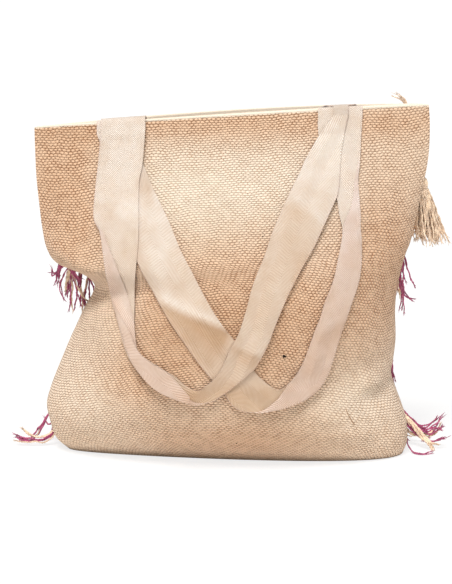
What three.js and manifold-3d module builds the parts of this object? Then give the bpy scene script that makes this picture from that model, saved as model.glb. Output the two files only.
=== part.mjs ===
// A woven cotton tote bag that stands slumped, with two flat tape straps hanging down one wall
// and rows of yarn fringe and tassels on the other. Millimetres, +Z up. The near, plain wall
// faces -Y, the fringed wall faces +Y, and the side seams lie in the plane y = 0.
import * as THREE from "three";
import { mergeVertices } from "three/addons/utils/BufferGeometryUtils.js";
import Module from "manifold-3d";

// Driving dimensions of the bag
const bagWidth = 395; // of the cloth laid flat, from side seam to side seam
const bagHeight = 348; // from the floor to the rim's higher, right end
const rimDrop = 22; // how much lower the rim's left end has sunk
const mouthGap = 30; // across the open mouth, outside to outside
const bellyFront = 101; // how far the near wall stands out from the seams
const bellyBack = 84; // how far the far wall stands out from the seams
const footSkew = 18; // how much further forward the foot's right end stands
const clothWall = 2.5; // thickness of the woven cloth

// Driving dimensions of the straps
const strapWidth = 44;
const strapThick = 1.8;
const strapSpread = 220; // between the middles of a strap's two legs at the rim
const strapDrop = 265; // from the rim down to the lowest part of a strap's middle line
const strapEnd = 34; // length sewn inside the wall, below the rim

// Driving dimensions of the fringed wall
const tasselHeight = 276; // from the floor to the line that the tassels hang from
const tasselPitch = 84; // between one tassel and the next
const tasselCount = 5;
const tasselLength = 62;
const tasselFlare = 16; // radius of a tassel's skirt at its foot
const tasselHead = 6.5; // radius of its tied head
const tasselLocks = 5; // locks in its skirt
const fringeHeight = 212; // from the floor to the upper row of fringe
const fringePitch = 80; // from one row down to the next
const fringeLength = 56; // of a hanging lock
const lockThick = 6; // across a lock where it is fullest
const lockPitch = 18; // between one lock and the next
const headingHeight = 7; // of the band that the locks hang from
const headingThick = 2.4;
const cornerLean = 42; // degrees by which the lowest row's end locks stand out sideways
const tuftPlace = 0.87; // of the loose yarn end along the rim, as a share of half the bagWidth
const tuftLength = 22;
const tuftThick = 4;

// Clearances: between pieces that lie on each other, under a strap or heading that lies on the
// wall, and between the wall and a tassel or yarn end
const layGap = 0.6;
const lieGap = 0.98;
const seatGap = 0.3;

// The bag's outline and depth, one row for each section from the floor up. up is a share of
// bagHeight, left and right are shares of half the bagWidth, front and back go from the
// mouth's depth (0) to the belly's (1), and round goes from pointed seams (0) to an oval (1).
const sections = [
  { up: 0.0, left: 0.84, right: 0.88, front: 0.38, back: 0.46, round: 1.5 },
  { up: 0.0345, left: 0.9, right: 0.9, front: 0.58, back: 0.64, round: 1.4 },
  { up: 0.086, left: 0.93, right: 0.895, front: 0.78, back: 0.82, round: 1.25 },
  { up: 0.132, left: 0.945, right: 0.87, front: 0.89, back: 0.91, round: 1.1 },
  { up: 0.1775, left: 0.925, right: 0.84, front: 0.95, back: 0.955, round: 1.0 },
  { up: 0.223, left: 0.895, right: 0.815, front: 0.98, back: 0.985, round: 0.9 },
  { up: 0.264, left: 0.865, right: 0.825, front: 0.99, back: 1.0, round: 0.8 },
  { up: 0.3245, left: 0.82, right: 0.835, front: 1.0, back: 1.0, round: 0.8 },
  { up: 0.405, left: 0.755, right: 0.83, front: 0.99, back: 0.955, round: 0.8 },
  { up: 0.461, left: 0.72, right: 0.835, front: 0.95, back: 0.91, round: 0.78 },
  { up: 0.511, left: 0.7, right: 0.85, front: 0.89, back: 0.85, round: 0.74 },
  { up: 0.5465, left: 0.695, right: 0.865, front: 0.85, back: 0.8, round: 0.7 },
  { up: 0.5765, left: 0.75, right: 0.88, front: 0.81, back: 0.76, round: 0.66 },
  { up: 0.606, left: 0.875, right: 0.9, front: 0.75, back: 0.7, round: 0.6 },
  { up: 0.6455, left: 0.927, right: 0.915, front: 0.675, back: 0.62, round: 0.52 },
  { up: 0.705, left: 0.95, right: 0.937, front: 0.555, back: 0.5, round: 0.42 },
  { up: 0.774, left: 0.963, right: 0.96, front: 0.385, back: 0.33, round: 0.3 },
  { up: 0.857, left: 0.975, right: 0.982, front: 0.19, back: 0.17, round: 0.16 },
  { up: 0.941, left: 0.979, right: 0.985, front: 0.06, back: 0.045, round: 0.05 },
  { up: 1.0, left: 0.98, right: 0.978, front: 0.0, back: 0.0, round: 0.0 },
];

// Creases of the near wall. Each runs from its outer end (x, up) to its inner end (toX, toUp),
// x as a share of half the bagWidth and up of bagHeight. lip is a share of bellyFront by which
// the cloth stands out above the line and sinks in below it; a ridge stands out along the line.
// reach is a share of bagHeight, the distance from the line to the lip's crest.
const creases = [
  { x: -0.92, up: 0.568, toX: -0.6, toUp: 0.467, lip: 0.1, ridge: 0, reach: 0.03 },
  { x: 0.86, up: 0.218, toX: 0.62, toUp: 0.203, lip: 0.05, ridge: 0, reach: 0.025 },
  { x: -0.74, up: 0.436, toX: -0.5, toUp: 0.335, lip: 0, ridge: 0.04, reach: 0.04 },
];

// The straps' middle lines where they lie on the near wall, from the left leg round the loop to
// the right leg. across is a share of half the strapSpread, down of strapDrop, wide is the
// share of strapWidth that shows, fold the share of that which lies doubled along the loop's
// outer edge, and layer goes from lying on the cloth (0) to lying on the other strap (1).
const nearStrapRows = [
  { across: -1.0, down: 0.05, wide: 1, fold: 0, layer: 0 },
  { across: -0.97, down: 0.23, wide: 1, fold: 0, layer: 0 },
  { across: -0.81, down: 0.36, wide: 1, fold: 0, layer: 0 },
  { across: -0.62, down: 0.5, wide: 1, fold: 0, layer: 0 },
  { across: -0.41, down: 0.66, wide: 1, fold: 0, layer: 0 },
  { across: -0.15, down: 0.82, wide: 0.98, fold: 0, layer: 0 },
  { across: 0.03, down: 0.92, wide: 0.85, fold: 0, layer: 0 },
  { across: 0.2, down: 0.99, wide: 0.6, fold: 0.3, layer: 0 },
  { across: 0.42, down: 0.99, wide: 0.46, fold: 0.9, layer: 0 },
  { across: 0.62, down: 0.93, wide: 0.5, fold: 1, layer: 0 },
  { across: 0.77, down: 0.83, wide: 0.56, fold: 1, layer: 0 },
  { across: 0.9, down: 0.69, wide: 0.58, fold: 1, layer: 0 },
  { across: 1.0, down: 0.54, wide: 0.52, fold: 1, layer: 0 },
  { across: 1.04, down: 0.43, wide: 0.48, fold: 0.9, layer: 0 },
  { across: 1.02, down: 0.33, wide: 0.58, fold: 0.45, layer: 0 },
  { across: 0.99, down: 0.22, wide: 0.85, fold: 0.1, layer: 0 },
  { across: 0.97, down: 0.12, wide: 1, fold: 0, layer: 0 },
  { across: 0.96, down: 0.03, wide: 1, fold: 0, layer: 0 },
];
const farStrapRows = [
  { across: -0.95, down: 0.06, wide: 1, fold: 0, layer: 1 },
  { across: -1.0, down: 0.24, wide: 1, fold: 0, layer: 1 },
  { across: -1.02, down: 0.37, wide: 0.98, fold: 0.05, layer: 1 },
  { across: -0.99, down: 0.49, wide: 0.75, fold: 0.3, layer: 1 },
  { across: -0.98, down: 0.6, wide: 0.64, fold: 0.6, layer: 0.7 },
  { across: -0.95, down: 0.7, wide: 0.46, fold: 1, layer: 0.2 },
  { across: -0.89, down: 0.81, wide: 0.34, fold: 1, layer: 0 },
  { across: -0.77, down: 0.89, wide: 0.44, fold: 1, layer: 0 },
  { across: -0.56, down: 0.95, wide: 0.46, fold: 0.8, layer: 0.2 },
  { across: -0.32, down: 0.98, wide: 0.4, fold: 0.2, layer: 0.7 },
  { across: -0.12, down: 0.94, wide: 0.5, fold: 0, layer: 1 },
  { across: 0.06, down: 0.85, wide: 0.66, fold: 0, layer: 1 },
  { across: 0.18, down: 0.76, wide: 0.74, fold: 0, layer: 1 },
  { across: 0.3, down: 0.65, wide: 0.9, fold: 0, layer: 1 },
  { across: 0.46, down: 0.5, wide: 1, fold: 0, layer: 1 },
  { across: 0.62, down: 0.38, wide: 1, fold: 0, layer: 1 },
  { across: 0.76, down: 0.27, wide: 0.96, fold: 0, layer: 1 },
  { across: 0.85, down: 0.15, wide: 0.68, fold: 0, layer: 1 },
  { across: 0.97, down: 0.03, wide: 0.4, fold: 0, layer: 1 },
];

// The fringe's rows from the top down: each node's name, and the share of cornerLean that its
// end locks take.
const fringeRows = [
  { name: "fringe_upper", lean: 0.2 },
  { name: "fringe_middle", lean: 0.1 },
  { name: "fringe_lower", lean: 1 },
];

// A lock's thickness along its length, as shares of lockThick
const lockRings = [
  { at: 0, thick: 0.7 },
  { at: 0.35, thick: 1 },
  { at: 0.75, thick: 0.9 },
  { at: 1, thick: 0.4 },
];

// A tassel's outline down from its loop: at is a share of its length, and its radius and the
// ring that its locks stand on are shares of its head's radius or its skirt's.
const tasselHeadRings = [
  { at: 0, radius: 0.35 },
  { at: 0.04, radius: 0.85 },
  { at: 0.1, radius: 1 },
  { at: 0.19, radius: 0.8 },
  { at: 0.26, radius: 0.9 },
  { at: 0.34, radius: 0.5 },
];
const tasselLockRings = [
  { at: 0.22, stands: 0.15, thick: 0.3 },
  { at: 0.6, stands: 0.5, thick: 0.9 },
  { at: 1, stands: 0.62, thick: 0.76 },
];

// Where a tassel's middle line is held off the wall: at is a share of its length, and flare
// goes from its head's radius (0) to its skirt's (1).
const tasselLine = [
  { at: 0, flare: 0 },
  { at: 0.25, flare: 0.1 },
  { at: 0.6, flare: 1 },
  { at: 1, flare: 1 },
];

// The loose yarn end from behind the rim to its tip: along the rim and up from it as shares of
// tuftLength, thick of tuftThick.
const tuftRows = [
  { along: 0, up: -0.5, thick: 0.8 },
  { along: 0, up: 0, thick: 1 },
  { along: -0.2, up: 0.25, thick: 0.9 },
  { along: -0.5, up: 0.5, thick: 0.4 },
];

// How finely the solids are drawn
const ringPoints = 52;
const outerRings = 24;
const innerRings = 12;
const ringCrowding = 0.9; // below 1, the rings are closer together towards the rim
const strapSteps = 38;
const lockSides = 4;
const headSides = 8;
const headingSteps = 22;

// Where the rim's sinking starts and ends, as shares of bagHeight, how it fades to the right,
// and the share of bagHeight up to which the foot is turned
const dropStarts = 0.4;
const dropEnds = 0.56;
const dropFade = 1.5;
const skewEnds = 0.3;

// How a crease fades: over which shares of its length it rises, over which it dies away, and
// how many times a wall's depth is counted before it carries the whole crease
const creaseRises = [-0.35, 0.05];
const creaseDies = [1.15, 0.45];
const creaseHold = 2;

// A wall's place is found by counting again this many times
const settleSteps = 12;

// A strap's folds: the least share of its width and thickness that a fold takes, and the share
// of fold by which it lies double
const leastFold = 0.06;
const doubledBy = 0.3;

// Over the rim: from the middle of its edge to its corners as a share of clothWall, the places
// inside the wall as shares of strapEnd, the turns of the bend in degrees, and over which
// shares of the way the strap gathers to the width that it has outside
const cornerReach = 0.72;
const insideShares = [1, 0.75, 0.5, 0.25];
const nearBend = [0, 30, 60, 90, 120, 150, 180];
const farBend = [60, 90, 120, 150, 180];
const gathers = [0.2, 0.8];

// The part of a strap's row over which its direction is taken
const stepAside = 0.05;

// Turns, in degrees, to each side and up and down in which a round thing touches the wall
const asideTurns = [-60, -30, 0, 30, 60];
const upTurns = [-30, 0, 30];

// How strongly the lean of the lowest locks gathers at the row's ends
const leanGathers = 8;

const cream = 0xe6d2b4;
const paleTape = 0xeadbc6;
const plum = 0x7d2448;
const yarn = 0xe2cfae;

function smooth(from, to, at) {
  const t = Math.min(1, Math.max(0, (at - from) / (to - from)));
  return t * t * (3 - 2 * t);
}

// One column of a table at a place between its rows, on a smooth curve through them.
function column(rows, along, name, at) {
  let i = 1;
  while (i < rows.length - 1 && rows[i][along] < at) i++;
  const near = (k) => rows[Math.min(rows.length - 1, Math.max(0, k))];
  const [a, b, c, d] = [near(i - 2), near(i - 1), near(i), near(i + 1)];
  const span = c[along] - b[along];
  const t = Math.min(1, Math.max(0, (at - b[along]) / span));
  const slopeB = ((c[name] - a[name]) / (c[along] - a[along])) * span;
  const slopeC = ((d[name] - b[name]) / (d[along] - b[along])) * span;
  const t2 = t * t;
  const t3 = t2 * t;
  return (
    b[name] * (2 * t3 - 3 * t2 + 1) +
    slopeB * (t3 - 2 * t2 + t) +
    c[name] * (3 * t2 - 2 * t3) +
    slopeC * (t3 - t2)
  );
}

function sunk(u, up) {
  return rimDrop * ((1 - u) / 2) ** dropFade * smooth(dropStarts, dropEnds, up);
}

// How far the creases push the near wall out at a point of it.
function creased(x, z) {
  let out = 0;
  for (const row of creases) {
    const from = new THREE.Vector2((row.x * bagWidth) / 2, row.up * bagHeight);
    const to = new THREE.Vector2((row.toX * bagWidth) / 2, row.toUp * bagHeight);
    const run = to.clone().sub(from);
    const point = new THREE.Vector2(x, z).sub(from);
    const t = point.dot(run) / run.lengthSq();
    const side = (Math.sign(run.x) * run.cross(point)) / run.length();
    const d = side / (row.reach * bagHeight);
    const fade = smooth(...creaseDies, t) * smooth(...creaseRises, t);
    const bell = Math.exp(0.5 - 0.5 * d * d);
    out += bellyFront * fade * bell * (row.lip * d + row.ridge);
  }
  return out;
}

// The section at a height: its half width, middle, two depths and roundness, inset by a wall.
function sectionAt(up, wall) {
  const left = (column(sections, "up", "left", up) * bagWidth) / 2;
  const right = (column(sections, "up", "right", up) * bagWidth) / 2;
  const frontShare = column(sections, "up", "front", up);
  const backShare = column(sections, "up", "back", up);
  const round = column(sections, "up", "round", up);
  const front = THREE.MathUtils.lerp(mouthGap / 2, bellyFront, frontShare);
  const back = THREE.MathUtils.lerp(mouthGap / 2, bellyBack, backShare);
  const halfWidth = (left + right) / 2;
  const seamInset = wall * (1 + Math.max(0, 1 - round) * (halfWidth / (front + back)));
  return {
    halfWidth: halfWidth - seamInset,
    middle: (right - left) / 2,
    front: front - wall,
    back: back - wall,
    power: 1 - round / 2,
  };
}

// A point of the shell: turn goes round it from the right seam over the far wall.
function shellPoint(turn, up, wall) {
  const s = sectionAt(up, wall);
  const u = Math.cos(turn);
  const depth = Math.max(0, 1 - u * u) ** s.power;
  const x = s.middle + s.halfWidth * u;
  const z = up * bagHeight - sunk(u, up);
  if (Math.sin(turn) > 0) return new THREE.Vector3(x, s.back * depth, z);
  const skew = footSkew * u * smooth(skewEnds, 0, up);
  const bent = creased(x, z) * Math.min(1, creaseHold * depth);
  return new THREE.Vector3(x, -(s.front + skew) * depth - bent, z);
}

// How far the outer face of a wall is from the seam plane at a place of the wall.
function wallDepth(x, z, front) {
  let up = z / bagHeight;
  let u = 0;
  for (let step = 0; step < settleSteps; step++) {
    const s = sectionAt(Math.min(1, Math.max(0, up)), 0);
    u = Math.min(1, Math.max(-1, (x - s.middle) / s.halfWidth));
    up = (z + sunk(u, up)) / bagHeight;
  }
  const turn = front ? -Math.acos(u) : Math.acos(u);
  return shellPoint(turn, Math.min(1, Math.max(0, up)), 0).y;
}

function rimHeight(x) {
  return bagHeight - sunk(Math.min(1, Math.max(-1, (2 * x) / bagWidth)), 1);
}

// A mesh from rings of as many points each, closed by flat ends, facing out.
function geometryFrom(points, faces) {
  const geometry = new THREE.BufferGeometry().setFromPoints(points);
  geometry.setIndex(faces.flat());
  return geometry;
}

function ringFaces(first, second, count) {
  const faces = [];
  for (let i = 0; i < count; i++) {
    const j = (i + 1) % count;
    faces.push([first + i, first + j, second + j], [first + i, second + j, second + i]);
  }
  return faces;
}

function fanFaces(centre, ring, count) {
  return Array.from({ length: count }, (_, i) => [centre, ring + ((i + 1) % count), ring + i]);
}

function flipped(faces) {
  return faces.map(([a, b, c]) => [a, c, b]);
}

function mesh(name, geometry, colour) {
  const material = new THREE.MeshStandardMaterial({ color: colour, roughness: 0.9, metalness: 0 });
  const made = new THREE.Mesh(geometry, material);
  made.name = name;
  return made;
}

// The bag: an outer shell, an inner one a wall inside it, the rim between them and two floors.
function bagCloth() {
  const points = [];
  const faces = [];
  const ring = (up, wall, flatZ) => {
    for (let i = 0; i < ringPoints; i++) {
      const p = shellPoint((2 * Math.PI * i) / ringPoints, up, wall);
      points.push(flatZ === undefined ? p : p.setZ(flatZ));
    }
    return points.length - ringPoints;
  };
  let below = ring(0, 0, 0);
  points.push(new THREE.Vector3(0, 0, 0));
  faces.push(...fanFaces(points.length - 1, below, ringPoints));
  for (let k = 1; k <= outerRings; k++) {
    const next = ring((k / outerRings) ** ringCrowding, 0);
    faces.push(...ringFaces(below, next, ringPoints));
    below = next;
  }
  const floorUp = clothWall / bagHeight;
  for (let k = innerRings; k >= 0; k--) {
    const next = ring(floorUp + (1 - floorUp) * (k / innerRings), clothWall, k ? undefined : clothWall);
    faces.push(...ringFaces(below, next, ringPoints));
    below = next;
  }
  points.push(new THREE.Vector3(0, 0, clothWall));
  faces.push(...flipped(fanFaces(points.length - 1, below, ringPoints)));
  return mesh("bag_cloth", geometryFrom(points, faces), cream);
}

// A closed body from rings of as many points each, with flat ends, turned to face out.
function lofted(rings) {
  const count = rings[0].length;
  const points = rings.flat();
  const faces = [];
  for (let k = 1; k < rings.length; k++) {
    faces.push(...ringFaces((k - 1) * count, k * count, count));
  }
  for (const [ring, first] of [[rings[0], 0], [rings.at(-1), points.length - count]]) {
    const middle = ring.reduce((sum, p) => sum.add(p), new THREE.Vector3()).divideScalar(count);
    const fan = fanFaces(points.push(middle) - 1, first, count);
    faces.push(...(first ? flipped(fan) : fan));
  }
  const volume = faces.reduce((sum, [a, b, c]) => {
    return sum + points[a].dot(points[b].clone().cross(points[c]));
  }, 0);
  return geometryFrom(points, volume > 0 ? faces : flipped(faces));
}

// The corners of a strap's section: offset from its middle line towards the loop's outer edge,
// and height over its lower face. The part that is folded double stands on the outer edge.
function tapeCorners(wide, fold) {
  const half = (strapWidth * wide) / 2;
  const doubled = Math.min(1 - leastFold, Math.max(leastFold, fold));
  const foldAt = half * (1 - 2 * doubled);
  const stack = strapThick * (1 + Math.max(leastFold, smooth(0, doubledBy, fold)));
  const lower = [half, half / 3, -half / 3, -half].map((offset) => [offset, 0]);
  const upper = [-half, (foldAt - half) / 2, foldAt].map((offset) => [offset, strapThick]);
  return [...lower, ...upper, [foldAt, stack], [(foldAt + half) / 2, stack], [half, stack]];
}

// The strap's lower face where it goes over the near rim at a place along it, as points (y, z)
// from its sewn end inside the wall that carries it to just below the rim outside.
function rimRoute(x, far) {
  const top = rimHeight(x);
  const middleY = wallDepth(x, top, true) + clothWall / 2;
  const middleZ = top - clothWall / 2;
  const bend = clothWall * cornerReach + layGap + (far ? strapThick + layGap : 0);
  const inside = (z) =>
    far
      ? wallDepth(x, z, false) - clothWall - 2 * layGap - strapThick
      : wallDepth(x, z, true) + clothWall + 2 * layGap;
  const route = insideShares.map((share) => {
    const z = top - share * strapEnd;
    return new THREE.Vector2(inside(z), z);
  });
  if (far) {
    const leaves = inside(top);
    route.push(new THREE.Vector2(leaves - layGap, top - layGap));
    route.push(new THREE.Vector2((leaves + middleY) / 2, top + bend / 2));
  }
  for (const turn of far ? farBend : nearBend) {
    const a = THREE.MathUtils.degToRad(turn);
    route.push(new THREE.Vector2(middleY + bend * Math.cos(a), middleZ + bend * Math.sin(a)));
  }
  return route;
}

// The sections of a strap's end from inside the wall to just outside the rim.
function rimSections(x, outward, wide, far) {
  const steps = rimRoute(x, far).length;
  return Array.from({ length: steps }, (_, i) => {
    const shows = THREE.MathUtils.lerp(1, wide, smooth(...gathers, i / (steps - 1)));
    return tapeCorners(shows, 0).map(([offset, height]) => {
      const at = x + outward * offset;
      const route = rimRoute(at, far);
      const before = route[Math.max(0, i - 1)];
      const after = route[Math.min(steps - 1, i + 1)];
      const run = after.clone().sub(before).normalize();
      return new THREE.Vector3(at, route[i].x + run.y * height, route[i].y - run.x * height);
    });
  });
}

// How far the near wall stands out at a place and just above and below it.
function againstNearWall(x, z) {
  const beside = [z - clothWall, z, z + clothWall].map((at) => wallDepth(x, at, true));
  return Math.min(...beside);
}

// The sections of a strap where it lies on the near wall.
function lyingSections(table) {
  const rows = table.map((row, step) => ({ ...row, step }));
  const value = (name, at) => column(rows, "step", name, at);
  const middle = (at) => {
    const x = (value("across", at) * strapSpread) / 2;
    return new THREE.Vector2(x, rimHeight(0) - value("down", at) * strapDrop);
  };
  return Array.from({ length: strapSteps + 1 }, (_, k) => {
    const at = (k / strapSteps) * (rows.length - 1);
    const run = middle(at + stepAside).sub(middle(at - stepAside)).normalize();
    const lift = lieGap + value("layer", at) * (strapThick + layGap);
    return tapeCorners(value("wide", at), value("fold", at)).map(([offset, height]) => {
      const x = middle(at).x + run.y * offset;
      const z = middle(at).y - run.x * offset;
      return new THREE.Vector3(x, againstNearWall(x, z) - lift - height, z);
    });
  });
}

function strap(name, rows, far) {
  const [first, last] = [rows[0], rows.at(-1)];
  const half = strapSpread / 2;
  const sections = [
    ...rimSections(first.across * half, -1, first.wide, far),
    ...lyingSections(rows),
    ...rimSections(last.across * half, 1, last.wide, far).reverse(),
  ];
  return mesh(name, lofted(sections), paleTape);
}

// A tube of locks' sides round a route, as thick at each point as its row says.
function tuftGeometry(route, radii, sides) {
  const rings = route.map((point, k) => {
    const before = route[Math.max(0, k - 1)];
    const after = route[Math.min(route.length - 1, k + 1)];
    const run = after.clone().sub(before).normalize();
    const aside = new THREE.Vector3(1, 0, 0).projectOnPlane(run).normalize();
    const out = run.clone().cross(aside);
    return Array.from({ length: sides }, (_, i) => {
      const turn = (2 * Math.PI * (i + 0.5)) / sides;
      const spoke = aside.clone().multiplyScalar(Math.cos(turn));
      return point.clone().add(spoke.addScaledVector(out, Math.sin(turn)).multiplyScalar(radii[k]));
    });
  });
  return lofted(rings);
}

const wasm = await Module();
wasm.setup();

function solidOf(geometry) {
  const merged = mergeVertices(geometry, 1e-4);
  const vertProperties = merged.attributes.position.array;
  return new wasm.Manifold(
    new wasm.Mesh({ numProp: 3, vertProperties, triVerts: new Uint32Array(merged.index.array) }),
  );
}

// Several closed geometries joined into one.
function joined(geometries) {
  const made = geometries.map(solidOf).reduce((sum, next) => sum.add(next)).getMesh();
  const geometry = new THREE.BufferGeometry();
  geometry.setAttribute("position", new THREE.BufferAttribute(made.vertProperties, made.numProp));
  geometry.setIndex(new THREE.BufferAttribute(made.triVerts, 1));
  return geometry;
}

// How far out of the seam plane the middle of a round thing is that touches the far wall.
function againstFarWall(x, z, radius) {
  const touching = asideTurns.flatMap((aside) => {
    return upTurns.map((up) => {
      const a = THREE.MathUtils.degToRad(aside);
      const b = THREE.MathUtils.degToRad(up);
      const atX = x + radius * Math.sin(a) * Math.cos(b);
      const atZ = Math.min(z + radius * Math.sin(b), rimHeight(atX));
      return wallDepth(atX, atZ, false) + radius * Math.cos(a) * Math.cos(b);
    });
  });
  return Math.max(...touching);
}

// A lock that hangs from a heading, slides down the far wall and spreads on the floor. side
// goes from -1 at the left seam to 1 at the right one, lean is its angle from the vertical.
function lockRoute(start, side, lean) {
  const route = [start.clone()];
  const radius = lockThick / 2;
  const outward = new THREE.Vector2(side, 1).normalize();
  for (let k = 1; k < lockRings.length; k++) {
    const length = (lockRings[k].at - lockRings[k - 1].at) * fringeLength;
    const next = route.at(-1).clone();
    const down = Math.min(length * Math.cos(lean), Math.max(0, next.z - radius));
    const onFloor = length - down / Math.cos(lean);
    next.z -= down;
    next.x += Math.sign(side) * down * Math.tan(lean) + outward.x * onFloor;
    next.y += outward.y * onFloor;
    next.y = Math.max(next.y, againstFarWall(next.x, next.z, radius) + lieGap);
    route.push(next);
  }
  return route;
}

// A band along the far wall, with its steps closer where the wall turns into the seams.
function headingGeometry(place, ends) {
  const rings = Array.from({ length: headingSteps + 1 }, (_, k) => {
    const share = ends + (1 - 2 * ends) * ((1 - Math.cos((Math.PI * k) / headingSteps)) / 2);
    const corners = [
      [0, 0],
      [headingHeight, 0],
      [headingHeight, headingThick],
      [0, headingThick],
    ];
    return corners.map(([lower, out]) => place(share, lower).add(new THREE.Vector3(0, out, 0)));
  });
  return lofted(rings);
}

// One row of fringe: a heading along the far wall at a height, with locks fused to it. share
// goes along the row from the left seam (0) to the right one (1).
function fringe(name, height, leanShare) {
  const place = (share, lower) => {
    const p = shellPoint(Math.acos(2 * share - 1), height / bagHeight, 0);
    const y = Math.max(againstFarWall(p.x, p.z, 0), againstFarWall(p.x, p.z - lower, 0));
    return new THREE.Vector3(p.x, y + lieGap, p.z - lower);
  };
  const radii = lockRings.map((ring) => (ring.thick * lockThick) / 2);
  const count = Math.floor(bagWidth / lockPitch);
  const locks = Array.from({ length: count }, (_, i) => {
    const share = (i + 0.5) / count;
    const side = 2 * share - 1;
    const start = place(share, headingHeight / 2);
    start.y += lockThick / 2;
    const lean = THREE.MathUtils.degToRad(cornerLean * leanShare * side ** leanGathers);
    return tuftGeometry(lockRoute(start, side, lean), radii, lockSides);
  });
  const ends = lockThick / bagWidth;
  return mesh(name, joined([headingGeometry(place, ends), ...locks]), plum);
}

// A tassel: a tied head with a skirt of locks that flares as it hangs down the far wall.
function tassel(name, x) {
  const top = tasselHeight - sunk((2 * x) / bagWidth, tasselHeight / bagHeight);
  const axis = tasselLine.map(({ at, flare }) => {
    const z = top - at * tasselLength;
    const radius = THREE.MathUtils.lerp(tasselHead, tasselFlare, flare);
    return new THREE.Vector3(x, againstFarWall(x, z, radius) + seatGap, z);
  });
  axis.forEach((p, i) => i && p.setY(Math.max(p.y, axis[i - 1].y)));
  const hanging = new THREE.CatmullRomCurve3(axis);
  const atLevel = (at) => hanging.getPoint(at);
  const headRoute = tasselHeadRings.map((ring) => atLevel(ring.at));
  const headRadii = tasselHeadRings.map((ring) => ring.radius * tasselHead);
  const locks = Array.from({ length: tasselLocks }, (_, i) => {
    const turn = (2 * Math.PI * (i + 0.5)) / tasselLocks;
    const spoke = new THREE.Vector3(Math.cos(turn), Math.sin(turn), 0);
    const route = tasselLockRings.map((ring) => {
      return atLevel(ring.at).addScaledVector(spoke, ring.stands * tasselFlare);
    });
    const radii = tasselLockRings.map((ring) => (ring.thick * tasselFlare) / 2);
    return tuftGeometry(route, radii, lockSides);
  });
  const head = tuftGeometry(headRoute, headRadii, headSides);
  return mesh(name, joined([head, ...locks]), yarn);
}

// The loose yarn end that stands behind the rim near its right corner.
function rimTuft() {
  const x = (tuftPlace * bagWidth) / 2;
  const radii = tuftRows.map((row) => (row.thick * tuftThick) / 2);
  const flatSide = Math.max(...radii) * Math.cos(Math.PI / lockSides);
  const low = rimHeight(x) + tuftRows[0].up * tuftLength;
  const y = Math.max(againstFarWall(x, low, flatSide), againstFarWall(x, rimHeight(x), flatSide));
  const route = tuftRows.map(({ along, up }) => {
    return new THREE.Vector3(x + along * tuftLength, y + seatGap, rimHeight(x) + up * tuftLength);
  });
  return mesh("rim_tuft", tuftGeometry(route, radii, lockSides), yarn);
}

const bag = new THREE.Group();
bag.add(bagCloth());
bag.add(strap("near_strap", nearStrapRows, false));
bag.add(strap("far_strap", farStrapRows, true));
for (let i = 0; i < tasselCount; i++) {
  bag.add(tassel(`tassel_${i + 1}`, bagWidth / 2 - tasselHead - i * tasselPitch));
}
fringeRows.forEach(({ name, lean }, i) => {
  bag.add(fringe(name, fringeHeight - i * fringePitch, lean));
});
bag.add(rimTuft());

// The origin is on the floor, under the middle of the whole bag.
const box = new THREE.Box3().setFromObject(bag);
const middle = box.getCenter(new THREE.Vector3());
bag.position.set(-middle.x, -middle.y, -box.min.z);

export default bag;
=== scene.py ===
import math
import random

import bpy
import numpy as np
from bpy.props import FloatProperty, FloatVectorProperty, IntProperty, PointerProperty
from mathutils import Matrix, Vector


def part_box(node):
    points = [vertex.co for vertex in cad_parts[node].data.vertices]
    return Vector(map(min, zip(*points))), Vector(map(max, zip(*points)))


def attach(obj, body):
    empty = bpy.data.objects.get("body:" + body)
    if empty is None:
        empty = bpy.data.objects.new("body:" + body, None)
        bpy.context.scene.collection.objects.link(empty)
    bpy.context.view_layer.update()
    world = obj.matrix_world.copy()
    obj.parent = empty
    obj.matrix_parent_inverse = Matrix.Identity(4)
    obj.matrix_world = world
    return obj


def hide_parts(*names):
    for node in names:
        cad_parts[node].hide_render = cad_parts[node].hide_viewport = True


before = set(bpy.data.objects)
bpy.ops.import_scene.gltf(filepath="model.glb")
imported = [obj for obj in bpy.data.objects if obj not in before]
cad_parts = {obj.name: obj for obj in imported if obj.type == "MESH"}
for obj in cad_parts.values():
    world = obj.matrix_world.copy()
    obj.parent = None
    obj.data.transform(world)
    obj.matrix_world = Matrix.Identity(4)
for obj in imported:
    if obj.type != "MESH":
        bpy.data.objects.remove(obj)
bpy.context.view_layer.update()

bl_info = {
    "name": "Fringed tote bag",
    "version": (1, 0, 0),
    "blender": (4, 5, 0),
    "location": "3D View > Sidebar > Fringed Bag",
    "description": "Builds a slumped woven tote bag with tape straps, yarn fringe and tassels",
    "category": "Add Mesh",
}


# Millimetres in a metre, and how many metres and millimetres one unit of a flat place spans
MM = 1000
FLAT_M = 0.1
FLAT_MM = FLAT_M * MM

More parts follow.
